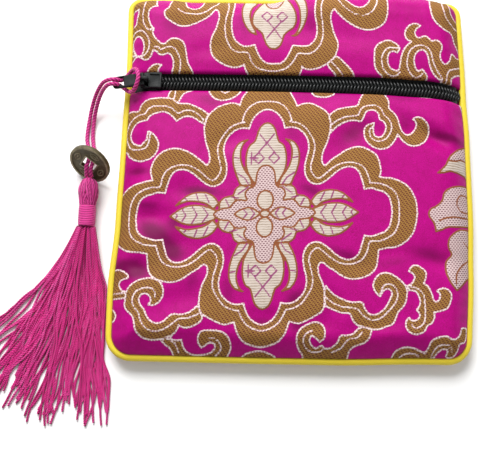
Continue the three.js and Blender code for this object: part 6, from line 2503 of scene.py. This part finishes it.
        # Groove sets how strongly the net's grooves are painted in shade
        net = tool.run("tassel_net", self.head_lines(),
                       Twist_Pitch=self.crossing_pitch * MM, Groove=0.8)
        give(net, self.pale)
        place_piece(net, ("tassel_head",))
        place_piece(self.binding(), ("tassel_binding",))
        skirt = tool.run("tassel_strands", self.strand_lines())
        place_piece(skirt, ("tassel_skirt",))


@dataclass
class Studio:
    """Camera, floor and lights."""

    aim: tuple[float, float, float] = (-13.9, -17.8, 6.0)
    elevation: float = 78.0
    azimuth: float = 1.3
    distance: float = 256.0
    lens: float = 57.6
    floor_size: float = 4.0
    floor_sink: float = 0.05
    floor_white: Colour = (0.93, 0.93, 0.93, 1)
    surroundings: float = 0.36
    # Place in metres, size and power of each lamp
    key: tuple[tuple[float, float, float], float, float] = ((-0.16, 0.5, 0.5), 0.5, 9.7)
    fill: tuple[tuple[float, float, float], float, float] = ((0.55, -0.3, 0.6), 0.7, 1.2)

    def camera(self) -> None:
        """Sets the camera at the photograph's viewing angle."""
        a, e = math.radians(self.azimuth), math.radians(self.elevation)
        back = Vector((math.sin(a) * math.cos(e), -math.cos(a) * math.cos(e), math.sin(e)))
        data = bpy.data.cameras.new("camera")
        data.lens = self.lens
        data.sensor_width = 36.0
        data.clip_start, data.clip_end = 0.01, 20.0
        camera = new_object("camera", data)
        camera.location = Vector(self.aim) * MM + back * self.distance * MM
        camera.rotation_euler = (-back).to_track_quat("-Z", "Y").to_euler()
        bpy.context.scene.camera = camera

    def lamp(self, name: str, place: tuple[float, float, float], size: float, power: float) -> None:
        """Adds a soft square lamp that points at the purse.

        Args:
            name: its name.
            place: where it stands, in metres.
            size: its side in metres.
            power: its power in watts.
        """
        data = bpy.data.lights.new(name, "AREA")
        data.shape = "SQUARE"
        data.size = size
        data.energy = power
        lamp = new_object(name, data)
        lamp.location = place
        lamp.rotation_euler = (-Vector(place)).to_track_quat("-Z", "Y").to_euler()

    def build(self) -> None:
        """Makes the floor, the lamps and the pale surroundings."""
        half = self.floor_size / 2
        corners = np.array([(-half, -half, 0), (half, -half, 0), (half, half, 0), (-half, half, 0)])
        corners -= np.array([0, 0, self.floor_sink * MM])
        floor = make_mesh("floor", corners, [[0, 1, 2, 3]], False, True)
        surface = Surface("floor_white")
        surface.set(Base_Color=self.floor_white, Roughness=0.6)
        give(floor, surface.material)
        self.lamp("key", *self.key)
        self.lamp("fill", *self.fill)
        world = bpy.data.worlds.new("studio")
        world.use_nodes = True
        back = world.node_tree.nodes["Background"]
        back.inputs["Color"].default_value = (1, 1, 1, 1)
        back.inputs["Strength"].default_value = self.surroundings
        bpy.context.scene.world = world
        bpy.context.scene.view_settings.view_transform = "Standard"


def main() -> None:
    """Builds the studio, the cord and then every other piece in order."""
    logging.basicConfig(level=logging.INFO, format="%(message)s")
    studio = Studio()
    studio.camera()
    age, dashes = wear_group(), dash_group()
    pink = ThreadFinish("cord_thread", (0.80, 0.026, 0.27, 1), (0.17, 0.001, 0.05, 1), 0.5)
    pale = ThreadFinish("wrap_thread", (0.76, 0.055, 0.32, 1), (0.22, 0.004, 0.08, 1), 0.5)
    thread, pale_thread = pink.material(age), pale.material(age)
    PurseCord(pale_thread).build()
    form = PurseForm()
    trim = WovenFinish("piping_cloth", (0.90, 0.74, 0.035, 1), (0.62, 0.47, 0.015, 1), 0.42, 0.5, 0.5)
    PurseBody(form, BrocadeChart(), Brocade().material(dashes), trim.material(dashes)).build()
    tape = WovenFinish("zipper_tape_cloth", (0.012, 0.013, 0.013, 1), (0.004, 0.004, 0.004, 1),
                       0.5, 0.0, 0.75)
    nylon = MetalFinish("zipper_nylon", (0.006, 0.007, 0.007, 1), (0.010, 0.011, 0.011, 1), 0.32, 0.0,
                        shine=0.32)
    metal = MetalFinish("painted_metal", (0.006, 0.0075, 0.0075, 1), (0.010, 0.012, 0.012, 1), 0.5, 0.0,
                        shine=0.17)
    Zipper(form, nylon.material(age), tape.material(dashes), metal.material(age)).build()
    bronze = MetalFinish("coin_bronze", (0.058, 0.045, 0.018, 1), (0.088, 0.07, 0.032, 1), 0.5, 0.3,
                         0.04, 0.35)
    worn = MetalFinish("worn_bronze", (0.17, 0.142, 0.075, 1), (0.26, 0.22, 0.13, 1), 0.42, 0.4)
    PurseCoin(bronze.material(age), worn.material(age)).build()
    Tassel(thread, pale_thread).build()
    studio.build()


if __name__ == "__main__":
    main()
